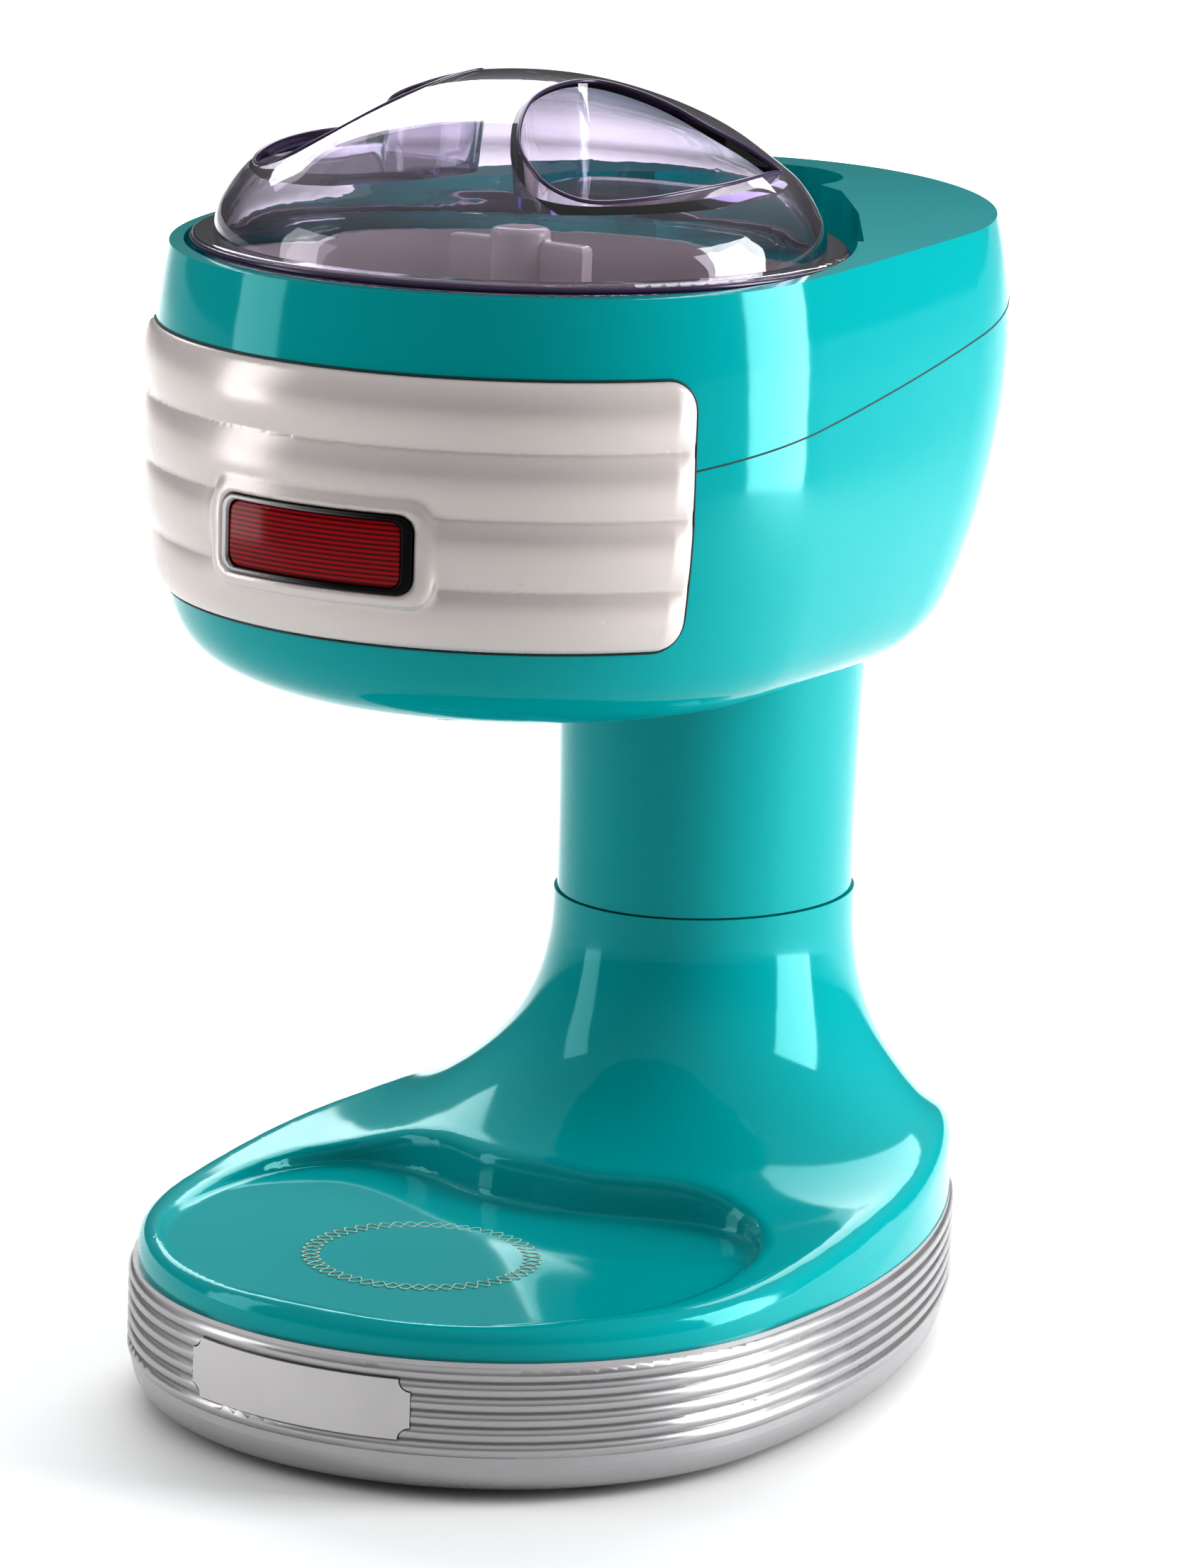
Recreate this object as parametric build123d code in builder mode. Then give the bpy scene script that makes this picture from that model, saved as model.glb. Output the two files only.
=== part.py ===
"""Ice shaver for slush drinks: a column stand with a ribbed base and cup tray,
an overhanging head with a geared motor drive, a lift-out ice bowl and a clear lid.

Frame: millimetres, +Z up, -Y to the front, origin under the middle of the feet.
"""
import os
from math import acos, cos, degrees, hypot, pi, radians, sin, sqrt, tan

from build123d import *

os.makedirs("parts", exist_ok=True)

# ------------------------------------------------------------------ driving dimensions
# clearances
fit_gap = 0.15            # between shells that are clipped or screwed together
slide_gap = 0.4           # between parts that lift out of each other
rest_gap = 0.3            # under a part that stands on another body
running_gap = 0.05        # radial, shaft in bush
gear_backlash = 0.25

# walls
base_wall = 2.6
column_wall = 3.0
head_wall = 3.0

# base outline: three tangent arcs, mirrored about the YZ plane
base_front_radius = 93.0
base_side_radius = 260.0
base_rear_radius = 69.0
base_front_y = -44.75
base_rear_y = 68.75

# heights of the base
foot_drop = 2.0
band_bottom_z = 10.2
band_top_z = 37.5
tray_floor_z = 46.0
rim_front_z = 47.4
rim_rear_z = 55.6
rim_rise_start_y = -80.0
rim_rise_end_y = 45.0
floor_thickness = 2.5
bottom_edge_radius = 8.0
rim_edge_radius = 5.0

# ribbed band
rib_count = 6
rib_pitch = 3.96
rib_first_z = 36.2        # top of the uppermost rib
rib_depth = 1.1
band_proud = 1.4          # rib crest beyond the teal cover's outline

# name plate window in the ribs
plate_half_angle = 20.5
plate_bottom_z = 16.4
plate_height = 15.8
plate_thickness = 1.0

# cup tray recess
tray_front_y = -132.0
tray_half_width = 77.0
tray_centre_y = -55.0
tray_lobe_y = -10.0
tray_cut_height = 24.0
tray_draft = 6.0
tray_bulge_y = -21.0      # where the foot of the column pushes into the tray

# column
column_y = 64.75
waist_half_width = 38.6
waist_half_length = 46.0
seam_z = 120.0
collar_step = 0.8
web_inset = 1.0           # of the webs across the column, inside its wall
column_top_half_width = 45.0
column_top_half_length = 48.0
column_top_z = 246.0

# head
head_y = -42.5            # axis of the bowl, lid and drive
head_radius = 94.0
head_bottom_z = 196.0
head_crown_z = 315.4
head_crown_y = 62.0
crown_cross_radius = 1000.0
crown_long_radius = 2250.0
parting_z = 278.8         # height of the shell parting plane at the origin
parting_tilt = 9.0        # degrees, rising to the rear

# front panel
panel_half_angle = 59.8
panel_bottom_z = 218.6
panel_top_z = 287.3
panel_corner_radius = 8.0
panel_proud = 0.9
panel_band_depth = 1.3
panel_sink = 1.5

# badge
badge_z = 243.0
badge_half_angle = 17.6
badge_height = 20.0
badge_rim = 2.6
badge_depth = 2.4
surround_half_angle = 20.4
surround_height = 26.6
surround_radius = 95.9     # outer face, from the head's axis
badge_radius = 96.2
lens_radius = 96.6

# lid, bowl and seat
seat_radius = 86.4        # round opening in the head
ledge_radius = 79.6
ledge_z = 296.0
flange_radius = 84.5
flange_z = 306.8
flange_thickness = 3.2
skirt_radius = 83.4
skirt_wall = 2.4
lid_wall = 2.4
scoop_floor_z = 327.0
bowl_rim_thickness = 2.6
bowl_radius = 78.6
bowl_wall = 2.4
bowl_floor_z = 238.0
bowl_floor = 3.0

# ice outlet
outlet_y = -76.8
outlet_half_width = 15.0
outlet_half_depth = 10.5
outlet_corner = 8.0
outlet_wall = 1.8
outlet_drop = 4.0

# drive train, all axes in the YZ plane
module_size = 1.0
gear_width = 6.0
gear_level_gap = 1.0
drive_teeth = 38
second_small_teeth = 36
second_large_teeth = 54
first_small_teeth = 20
first_large_teeth = 55
pinion_teeth = 18
gear_plate_z = 205.4
gear_plate_thickness = 2.6
gear_cover_thickness = 2.5
drive_shaft_radius = 5.0
gear_pin_radius = 3.0
motor_shaft_radius = 2.5
motor_radius = 24.5
motor_height = 48.0

# paddle
post_radius = 7.75
post_top_z = 313.2
wing_top_z = 309.8
wing_reach = 20.0
wing_thickness = 5.0
arm_reach = 66.0
arm_height = 26.0
socket_width = 7.0

# power switch and cable inlet at the rear of the band
switch_width = 26.0
switch_height = 19.0
switch_z = 23.4
rocker_width = 17.2
rocker_height = 10.6
rocker_tilt = 8.0
inlet_angle = 148.0       # round the rear arc, counted from the front
inlet_radius = 5.5
inlet_bore = 3.6

# safety switch beside the seat, under the lid's tab
switch_angle = -150.0     # round the head's axis, counted from the front
switch_reach = 90.0
tab_half_width = 6.0
finger_radius = 2.6
plunger_radius = 2.2
plunger_travel = 2.5

# fasteners
screw_radius = 1.9
screw_head_radius = 3.6
screw_head_height = 1.7
boss_radius = 5.0

# ------------------------------------------------------------------ worked-out values
def gear_spacing(teeth_a, teeth_b):
    """Distance between the axes of two meshing gears."""
    return module_size * (teeth_a + teeth_b) / 2


def gear_level(number):
    """Underside of a gear level, counted up from the gear plate."""
    return gear_plate_z + gear_plate_thickness + gear_level_gap + number * (gear_width + gear_level_gap)


drive_y = head_y
second_y = drive_y + gear_spacing(drive_teeth, second_small_teeth)
first_y = second_y + gear_spacing(second_large_teeth, first_small_teeth)
motor_y = first_y + gear_spacing(first_large_teeth, pinion_teeth)
gear_cover_z = gear_level(3)
gear_cover_top = gear_cover_z + gear_cover_thickness
motor_z = gear_cover_top
floor_top_z = foot_drop + floor_thickness
flange_top_z = flange_z + flange_thickness
bowl_rim_bottom = ledge_z + rest_gap
bowl_rim_top = bowl_rim_bottom + bowl_rim_thickness
bowl_lip_top = bowl_rim_top + 3.2
bowl_bottom_z = bowl_floor_z - bowl_floor
skirt_bottom_z = bowl_rim_top + slide_gap
ledge_thickness = 3.4
ledge_bottom_z = ledge_z - ledge_thickness
parting_plane = Plane(origin=(0, 0, parting_z), x_dir=(1, 0, 0), z_dir=(
    0, -sin(radians(parting_tilt)), cos(radians(parting_tilt))
))
lower_web_top = seam_z - 3
screw_seat_z = foot_drop + 2
bezel_sink = 1.4
inlet_seat = (
    (base_rear_radius - 0.6) * sin(radians(inlet_angle)),
    base_rear_y - (base_rear_radius - 0.6) * cos(radians(inlet_angle)),
    switch_z,
)
upper_web_z = 190.0
upper_boss_places = ((27.0, 50.0), (-27.0, 50.0), (24.0, 86.5), (-24.0, 86.5))
plate_boss_places = ((30.0, -45.0), (-30.0, -45.0), (54.0, 56.0), (-54.0, 56.0))
panel_valleys = (235.0, 252.8, 269.6)
post_reach = 83.0
collar_wall = 2.4
plunger_place = (
    switch_reach * sin(radians(switch_angle)),
    head_y - switch_reach * cos(radians(switch_angle)),
)
motor_top = motor_z + motor_height
fan_top_z = motor_top + 8.5
bowl_rim_radius = 85.4
hub_radius = 9.0
hub_top_z = 247.0
seal_radius = 7.6
seal_height = 3.0
square_top_z = 259.0
disc_thickness = 1.2
disc_radius = 74.0
slot_width = 6.0
blade_thickness = 1.2
blade_back = 7.5
blade_screw_x = 9.0
arm_bottom_z = 241.9
skirt_hub_radius = 13.0
finger_bottom_z = 300.4
switch_depth = 13.0
bush_radius = 7.5
plate_front_y = -62.0
plate_strip_rear = 62.0
plate_rear_y = 93.0
plate_half_width = 50.0
cover_front_y = -58.0
cover_rear_y = 62.0
cover_half_width = 43.0
cover_post_places = ((36.0, -38.0), (-36.0, -38.0), (38.0, 14.0), (-38.0, 14.0), (26.0, 78.0), (-26.0, 78.0))
motor_boss_radius = 6.0
motor_screw_places = ((12.5, motor_y), (-12.5, motor_y))


# ------------------------------------------------------------------ shared shapes
def oval(height, front_radius, side_radius, rear_radius, front_y, rear_y):
    """Egg-shaped face of four tangent arcs, at a height."""
    to_front = side_radius - front_radius
    to_rear = side_radius - rear_radius
    span = rear_y - front_y
    along = (to_front**2 - to_rear**2 + span**2) / (2 * span)
    across = sqrt(to_front**2 - along**2)
    side_centre = Vector(-across, front_y + along)
    front_unit = (Vector(0, front_y) - side_centre).normalized()
    rear_unit = (Vector(0, rear_y) - side_centre).normalized()
    front_point = side_centre + front_unit * side_radius
    rear_point = side_centre + rear_unit * side_radius
    middle_unit = (front_unit + rear_unit).normalized()
    side_point = side_centre + middle_unit * side_radius

    def flip(point):
        return Vector(-point.X, point.Y)

    with BuildSketch(Plane.XY.offset(height)) as outline:
        with BuildLine():
            ThreePointArc(flip(front_point), (0, front_y - front_radius), front_point)
            ThreePointArc(front_point, side_point, rear_point)
            ThreePointArc(rear_point, (0, rear_y + rear_radius), flip(rear_point))
            ThreePointArc(flip(rear_point), flip(side_point), flip(front_point))
        make_face()
    return outline.sketch


def base_outline(height, offset_by=0.0):
    """Outline of the base at a height, moved outwards by offset_by."""
    return oval(
        height,
        base_front_radius + offset_by,
        base_side_radius + offset_by,
        base_rear_radius + offset_by,
        base_front_y,
        base_rear_y,
    )


def base_slab(offset_by, bottom_z, top_z):
    """Straight-sided prism on the base outline."""
    with BuildPart() as slab:
        add(base_outline(bottom_z, offset_by))
        extrude(amount=top_z - bottom_z)
    return slab.part


def tilted_above(front_z, rear_z, start_y, end_y):
    """Everything above a surface that rises smoothly from front to rear."""
    reach = 400.0
    with BuildPart() as block:
        with BuildSketch(Plane.YZ):
            with BuildLine():
                Line((-reach, front_z), (start_y, front_z))
                Spline((start_y, front_z), (end_y, rear_z), tangents=((1, 0), (1, 0)))
                Polyline(
                    (end_y, rear_z), (reach, rear_z), (reach, reach), (-reach, reach), (-reach, front_z)
                )
            make_face()
        extrude(amount=reach, both=True)
    return block.part


# ------------------------------------------------------------------ column
foot_sections = (
    # height, half width, front y, rear y
    (
        seam_z,
        waist_half_width + collar_step,
        column_y - waist_half_length - collar_step,
        column_y + waist_half_length + collar_step,
    ),
    (106.0, 39.8, 17.2, 111.3),
    (92.0, 43.4, 13.4, 112.6),
    (79.0, 50.6, 7.0, 115.4),
    (68.5, 60.4, -2.5, 119.6),
    (61.0, 70.0, -13.0, 123.0),
    (56.5, 76.5, -23.5, 126.5),
    (52.5, 81.0, -33.0, 129.0),
)


def column_outline(half_width, front_y, rear_y):
    """Rounded section of the column: an ellipse, in the current sketch."""
    with Locations((0, (front_y + rear_y) / 2)):
        Ellipse(half_width, (rear_y - front_y) / 2)


def waist_outline(inset):
    """Outline of the column at its waist, moved inwards."""
    column_outline(
        waist_half_width - inset,
        column_y - waist_half_length + inset,
        column_y + waist_half_length - inset,
    )


def column_foot(inset=0.0, drop=0.0):
    """Flared lower column, from the seam down into the base."""
    with BuildPart() as foot:
        for height, half_width, front_y, rear_y in foot_sections:
            with BuildSketch(Plane.XY.offset(height - drop)):
                column_outline(half_width - inset, front_y + inset, rear_y - inset)
        loft()
    return foot.part


def column_neck(inset, bottom_z, top_z):
    """Straight prism on the column's waist section."""
    with BuildPart() as neck:
        with BuildSketch(Plane.XY.offset(bottom_z)):
            column_outline(
                waist_half_width - inset,
                column_y - waist_half_length + inset,
                column_y + waist_half_length - inset,
            )
        extrude(amount=top_z - bottom_z)
    return neck.part


def column_top(inset=0.0):
    """Upper column, from the seam up into the head."""
    with BuildPart() as top:
        for share in (0.0, 0.35, 0.7, 1.0):
            height = seam_z + (column_top_z - seam_z) * share
            swell = share * share
            half_width = waist_half_width + (column_top_half_width - waist_half_width) * swell
            half_length = waist_half_length + (column_top_half_length - waist_half_length) * swell
            with BuildSketch(Plane.XY.offset(height)):
                column_outline(
                    half_width - inset, column_y - half_length + inset, column_y + half_length - inset
                )
        loft()
    return top.part


# ------------------------------------------------------------------ head form
head_sections = (
    # height, radius, y of the rear arc's centre
    (head_bottom_z, 62.0, 6.0),
    (198.6, 73.5, 8.0),
    (203.0, 80.8, 10.0),
    (209.5, 86.0, 12.5),
    (219.0, 89.2, 15.5),
    (233.0, 92.0, 19.5),
    (252.0, 93.8, 25.0),
    (275.0, 93.8, 30.5),
    (286.0, 93.3, 31.0),
    (297.0, 92.0, 31.2),
    (308.0, 90.0, 31.0),
    (319.0, 87.0, 30.0),
)
bottom_turn = 30.0        # height over which the floor turns into the side wall
head_side_radius = 700.0
head_rear_drop = 1.0      # the rear arc is this much tighter than the front one
head_axis = Axis((0, head_y, 0), (0, 0, 1))


def head_form(inset=0.0):
    """Outer form of the head, or the same form moved inwards by inset."""
    with BuildPart() as form:
        for height, radius, rear_y in head_sections:
            lift = inset * max(0.0, 1 - (height - head_bottom_z) / bottom_turn)
            rear_radius = radius - head_rear_drop
            add(
                oval(
                    height + lift,
                    radius - inset,
                    head_side_radius,
                    rear_radius - inset,
                    head_y,
                    rear_y,
                )
            )
        loft()
        add(crown_above(head_crown_z - inset), mode=Mode.SUBTRACT)
    return form.part


def crown_above(top_z):
    """Everything above the shallow dome that closes the head."""
    reach = 160.0
    sag = crown_cross_radius - sqrt(crown_cross_radius**2 - reach**2)
    with BuildPart() as block:
        with BuildSketch(Plane.XZ.offset(-head_crown_y)):
            with BuildLine():
                ThreePointArc((-reach, top_z - sag), (0, top_z), (reach, top_z - sag))
                Polyline(
                    (reach, top_z - sag), (reach, top_z + 60), (-reach, top_z + 60), (-reach, top_z - sag)
                )
            make_face()
        spin = Axis((0, head_crown_y, top_z - crown_long_radius), (1, 0, 0))
        revolve(axis=spin, revolution_arc=9)
        mirror(about=Plane.XZ.offset(-head_crown_y))
    return block.part


def radial_plane(angle, centre_y):
    """Upright plane through a vertical axis; local x points outwards, local y up.

    The angle is counted from the front (-Y) towards +X.
    """
    outward = Vector(sin(radians(angle)), -cos(radians(angle)), 0)
    return Plane(origin=(0, centre_y, 0), x_dir=outward, z_dir=outward.cross(Vector(0, 0, 1)))


def cylinder(radius, bottom_z, top_z, x=0.0, y=0.0):
    """Upright solid cylinder between two heights."""
    with BuildPart() as rod:
        with BuildSketch(Plane.XY.offset(bottom_z)):
            with Locations((x, y)):
                Circle(radius)
        extrude(amount=top_z - bottom_z)
    return rod.part


def ring(outer_radius, inner_radius, bottom_z, top_z, x=0.0, y=0.0):
    """Upright tube between two heights."""
    with BuildPart() as tube:
        with BuildSketch(Plane.XY.offset(bottom_z)):
            with Locations((x, y)):
                Circle(outer_radius)
                Circle(inner_radius, mode=Mode.SUBTRACT)
        extrude(amount=top_z - bottom_z)
    return tube.part


def slab_at(length_x, length_y, bottom_z, top_z, x=0.0, y=0.0, corner=0.0):
    """Upright rectangular prism between two heights, with rounded corners if asked."""
    with BuildPart() as slab:
        with BuildSketch(Plane.XY.offset(bottom_z)):
            with Locations((x, y)):
                if corner > 0:
                    RectangleRounded(length_x, length_y, corner)
                else:
                    Rectangle(length_x, length_y)
        extrude(amount=top_z - bottom_z)
    return slab.part


def screw(head_radius_, head_height, shank_radius, length, place, point_up=True):
    """Pan-head screw with a cross recess; place is the seat under its head."""
    way = 1 if point_up else -1
    with BuildPart() as body:
        with BuildSketch(Plane(origin=place, z_dir=(0, 0, way))):
            Circle(shank_radius)
        extrude(amount=length)
        with BuildSketch(Plane(origin=place, z_dir=(0, 0, -way))):
            Circle(head_radius_)
        extrude(amount=head_height)
        top = Vector(*place) + Vector(0, 0, -way * head_height)
        with BuildSketch(Plane(origin=top, z_dir=(0, 0, way))):
            Rectangle(head_radius_ * 1.2, head_radius_ * 0.28)
            Rectangle(head_radius_ * 0.28, head_radius_ * 1.2)
        extrude(amount=head_height * 0.5, mode=Mode.SUBTRACT)
    return body.part


def save(part, name):
    """Label a finished piece and write it."""
    part.label = name
    export_step(part, f"parts/{name}.step")


# ------------------------------------------------------------------ base
base_screw_places = ((40.0, -108.0), (-40.0, -108.0), (58.0, 62.0), (-58.0, 62.0))
base_boss_tops = (tray_floor_z - 1.5, tray_floor_z - 1.5, 65.5, 65.5)
foot_places = ((58.0, -88.0), (-58.0, -88.0), (42.0, 92.0), (-42.0, 92.0))
foot_radius = 9.0
foot_pocket = 1.6
seat_height = 1.7         # raised seats round the screws inside the bottom
column_screw_places = ((24.0, 43.0), (-24.0, 43.0), (24.0, 86.5), (-24.0, 86.5))
web_thickness = 3.0
web_drop = 6.0
wire_hole_radius = 14.0


def tray_outline(height, grow=0.0):
    """Outline of the cup tray: a round front, and two lobes beside the column's foot."""
    front = tray_front_y - grow
    half = tray_half_width + grow
    back = tray_lobe_y + grow
    bulge = tray_bulge_y + grow
    with BuildSketch(Plane.XY.offset(height)) as tray:
        with BuildLine():
            Spline(
                (0, front),
                (half * 0.77, 0.76 * front + 0.24 * tray_centre_y),
                (half, tray_centre_y),
                (half * 0.93, 0.42 * tray_centre_y + 0.58 * back),
                (half * 0.64, back),
                (half * 0.3, 0.5 * (back + bulge)),
                (0, bulge),
                tangents=((1, 0), (-1, 0)),
            )
            mirror(about=Plane.YZ)
        make_face()
    return tray.sketch


rim_cap = tilted_above(rim_front_z, rim_rear_z, rim_rise_start_y, rim_rise_end_y)
rim_cap_inner = tilted_above(
    rim_front_z - base_wall, rim_rear_z - base_wall, rim_rise_start_y, rim_rise_end_y
)


def clipped_foot(inset, drop):
    """The column's flare, kept inside the rounded rim of the base."""
    with BuildPart() as clipped:
        add(column_foot(inset, drop))
        add(base_slab(-rim_edge_radius / 2 - inset, band_top_z, seam_z + 10), mode=Mode.INTERSECT)
    return clipped.part


def tray_form(grow, drop):
    """The space over the tray's floor; it widens a little upwards."""
    with BuildPart() as form:
        add(tray_outline(tray_floor_z - drop, grow))
        add(tray_outline(tray_floor_z + tray_cut_height, grow + tray_cut_height * tan(radians(tray_draft))))
        loft()
    return form.part


with BuildPart() as cover_cavity:
    add(base_slab(-base_wall, band_top_z - 1, rim_rear_z + 5))
    add(rim_cap_inner, mode=Mode.SUBTRACT)
    add(clipped_foot(base_wall, base_wall + 1.5))
    add(column_neck(base_wall, seam_z - 10, seam_z + 5))
    add(tray_form(base_wall, base_wall), mode=Mode.SUBTRACT)

with BuildPart() as base_cover:
    add(base_slab(0, band_top_z, rim_rear_z + 5))
    add(rim_cap, mode=Mode.SUBTRACT)
    rim_edges = base_cover.edges().filter_by(lambda edge: edge.bounding_box().min.Z > band_top_z + 5)
    fillet(rim_edges, rim_edge_radius)
    add(clipped_foot(0, 0))
    add(cover_cavity.part, mode=Mode.SUBTRACT)
    add(tray_form(0, 0), mode=Mode.SUBTRACT)
    for (x, y), top_z in zip(base_screw_places, base_boss_tops):
        add(cylinder(boss_radius, floor_top_z + seat_height, top_z, x, y))
        add(cylinder(screw_radius, floor_top_z, top_z - 6, x, y), mode=Mode.SUBTRACT)
    with BuildSketch(Plane.XY.offset(seam_z - web_drop)):
        waist_outline(web_inset)
        with Locations((0, column_y)):
            Circle(wire_hole_radius, mode=Mode.SUBTRACT)
        with Locations(*column_screw_places):
            Circle(screw_radius + fit_gap, mode=Mode.SUBTRACT)
    extrude(amount=web_thickness)
save(base_cover.part, "base_cover")

# ribbed band: one profile swept round the base outline
rib_edges = [rib_first_z - rib_pitch * number for number in range(rib_count + 1)]
valley = band_proud - rib_depth
band_path = base_outline(0).wire()
rear_face_y = base_rear_y + base_rear_radius
inlet_plane = radial_plane(inlet_angle, base_rear_y)


def plate_block(grow, inner_radius, outer_radius):
    """Curved block in the front of the band, with scalloped ends."""
    half_angle = plate_half_angle + degrees(grow / base_front_radius)
    with BuildPart() as block:
        with BuildSketch(radial_plane(-half_angle, base_front_y)):
            with Locations(((inner_radius + outer_radius) / 2, plate_bottom_z + plate_height / 2)):
                Rectangle(outer_radius - inner_radius, plate_height + 2 * grow)
        revolve(axis=Axis((0, base_front_y, 0), (0, 0, 1)), revolution_arc=2 * half_angle)
        for side in (-1, 1):
            for end in (0, 1):
                place = radial_plane(side * half_angle, base_front_y)
                with BuildSketch(Plane(
                    origin=(0, base_front_y, plate_bottom_z - grow + end * (plate_height + 2 * grow)),
                    x_dir=(1, 0, 0),
                    z_dir=place.x_dir,
                )):
                    Circle(3.2 - grow)
                extrude(amount=outer_radius + 5, mode=Mode.SUBTRACT)
    return block.part


with BuildPart() as base_band:
    front_point = (0, base_front_y - base_front_radius, 0)
    with BuildSketch(Plane(origin=front_point, x_dir=(0, -1, 0), z_dir=(-1, 0, 0))):
        with BuildLine():
            Polyline(
                (valley, rib_edges[-1]),
                (valley, band_bottom_z),
                (-base_wall, band_bottom_z),
                (-base_wall, band_top_z),
                (valley, band_top_z),
                (valley, rib_edges[0]),
            )
            for upper, lower in zip(rib_edges, rib_edges[1:]):
                ThreePointArc((valley, upper), (band_proud, (upper + lower) / 2), (valley, lower))
        make_face()
    sweep(path=band_path)
    plate_inner = base_front_radius + valley - plate_thickness
    add(plate_block(fit_gap, plate_inner, base_front_radius + 6), mode=Mode.SUBTRACT)
    with BuildSketch(Plane.XZ.offset(-rear_face_y + bezel_sink)):
        with Locations((0, switch_z)):
            RectangleRounded(switch_width + 2 * fit_gap, switch_height + 2 * fit_gap, 2.0)
    extrude(amount=-10, mode=Mode.SUBTRACT)
    with BuildSketch(Plane.XZ.offset(-rear_face_y + 12)):
        with Locations((0, switch_z)):
            Rectangle(switch_width - 4 + 2 * fit_gap, switch_height - 4 + 2 * fit_gap)
    extrude(amount=-14, mode=Mode.SUBTRACT)
    with BuildSketch(Plane(origin=inlet_seat, z_dir=inlet_plane.x_dir)):
        Circle(inlet_radius + 2 + fit_gap)
    extrude(amount=8, mode=Mode.SUBTRACT)
    with BuildSketch(Plane(origin=inlet_seat, z_dir=inlet_plane.x_dir)):
        Circle(inlet_radius)
    extrude(amount=-10, mode=Mode.SUBTRACT)
save(base_band.part, "base_band")

save(plate_block(0, plate_inner, base_front_radius + band_proud), "name_plate")

with BuildPart() as base_bottom:
    add(base_slab(0, foot_drop, band_bottom_z))
    fillet(base_bottom.faces().sort_by(Axis.Z)[0].edges(), bottom_edge_radius)
    add(base_slab(-base_wall - fit_gap, band_bottom_z - 1, band_bottom_z + 5))
    add(base_slab(-base_wall - 3, floor_top_z, band_bottom_z + 6), mode=Mode.SUBTRACT)
    for x, y in base_screw_places:
        add(cylinder(boss_radius, floor_top_z, floor_top_z + seat_height, x, y))
        add(cylinder(screw_radius + fit_gap, 0, floor_top_z + seat_height, x, y), mode=Mode.SUBTRACT)
        add(cylinder(screw_head_radius + 0.3, 0, screw_seat_z, x, y), mode=Mode.SUBTRACT)
    for x, y in foot_places:
        add(cylinder(foot_radius, 0, foot_drop + foot_pocket, x, y), mode=Mode.SUBTRACT)
save(base_bottom.part, "base_bottom")

with BuildPart() as rubber_feet:
    for x, y in foot_places:
        add(cylinder(foot_radius, 0, foot_drop + foot_pocket, x, y))
    fillet(rubber_feet.edges().group_by(Axis.Z)[0], 0.8)
save(rubber_feet.part, "rubber_feet")

with BuildPart() as base_screws:
    for x, y in base_screw_places:
        add(screw(screw_head_radius, screw_head_height, screw_radius, 16, (x, y, screw_seat_z)))
save(base_screws.part, "base_screws")

# rocker switch: a round-backed rocker between two side walls
rocker_y = rear_face_y + 1.2
bezel_y = rear_face_y + 2.8
with BuildPart() as switch_body:
    with BuildSketch(Plane.XZ.offset(-rear_face_y + bezel_sink)):
        with Locations((0, switch_z)):
            RectangleRounded(switch_width, switch_height, 2.0)
    extrude(amount=-(bezel_y - rear_face_y + bezel_sink))
    with BuildSketch(Plane.XZ.offset(-rear_face_y + bezel_sink)):
        with Locations((0, switch_z)):
            Rectangle(switch_width - 4, switch_height - 4)
    extrude(amount=12)
    with BuildSketch(Plane.XZ.offset(-rear_face_y + 9)):
        with Locations((0, switch_z)):
            Rectangle(rocker_width + 2 * slide_gap, rocker_height + 2 * slide_gap)
    extrude(amount=-20, mode=Mode.SUBTRACT)
    with BuildSketch(Plane.YZ):
        with Locations((rocker_y, switch_z)):
            Circle(1.4 + running_gap)
    extrude(amount=rocker_width / 2 + slide_gap + 1.4, both=True, mode=Mode.SUBTRACT)
save(switch_body.part, "switch_body")

with BuildPart() as power_rocker:
    with BuildSketch(Plane.YZ):
        with Locations((rocker_y, switch_z)):
            Circle(rocker_height / 2)
    extrude(amount=rocker_width / 2, both=True)
    for side in (-1, 1):
        lean = radians(side * rocker_tilt)
        with BuildSketch(Plane(
            origin=(0, rocker_y + 3.4 * cos(lean), switch_z + 3.4 * sin(lean)),
            x_dir=(1, 0, 0),
            z_dir=(0, cos(lean), sin(lean)),
        )):
            Rectangle(60, 60)
        extrude(amount=20, mode=Mode.SUBTRACT)
    with BuildSketch(Plane.YZ):
        with Locations((rocker_y, switch_z)):
            Circle(1.4)
    extrude(amount=rocker_width / 2 + slide_gap + 1.2, both=True)
rocker_pose = Rot(rocker_tilt, 0, 0)
rocker_spot = Pos(0, rocker_y, switch_z)
save(rocker_spot * rocker_pose * rocker_spot.inverse() * power_rocker.part, "power_rocker")

with BuildPart() as cable_gland:
    with BuildSketch(Plane(origin=inlet_seat, z_dir=inlet_plane.x_dir)):
        Circle(inlet_radius + 2)
    extrude(amount=3.6)
    outer_end = Vector(*inlet_seat) + inlet_plane.x_dir * 12
    fillet(cable_gland.edges().filter_by(GeomType.CIRCLE).sort_by_distance(outer_end)[0], 1.2)
    with BuildSketch(Plane(origin=inlet_seat, z_dir=inlet_plane.x_dir)):
        Circle(inlet_radius)
    extrude(amount=-8)
    with BuildSketch(Plane(origin=inlet_seat, z_dir=inlet_plane.x_dir)):
        Circle(inlet_bore)
    extrude(amount=12, both=True, mode=Mode.SUBTRACT)
save(cable_gland.part, "cable_gland")


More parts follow.
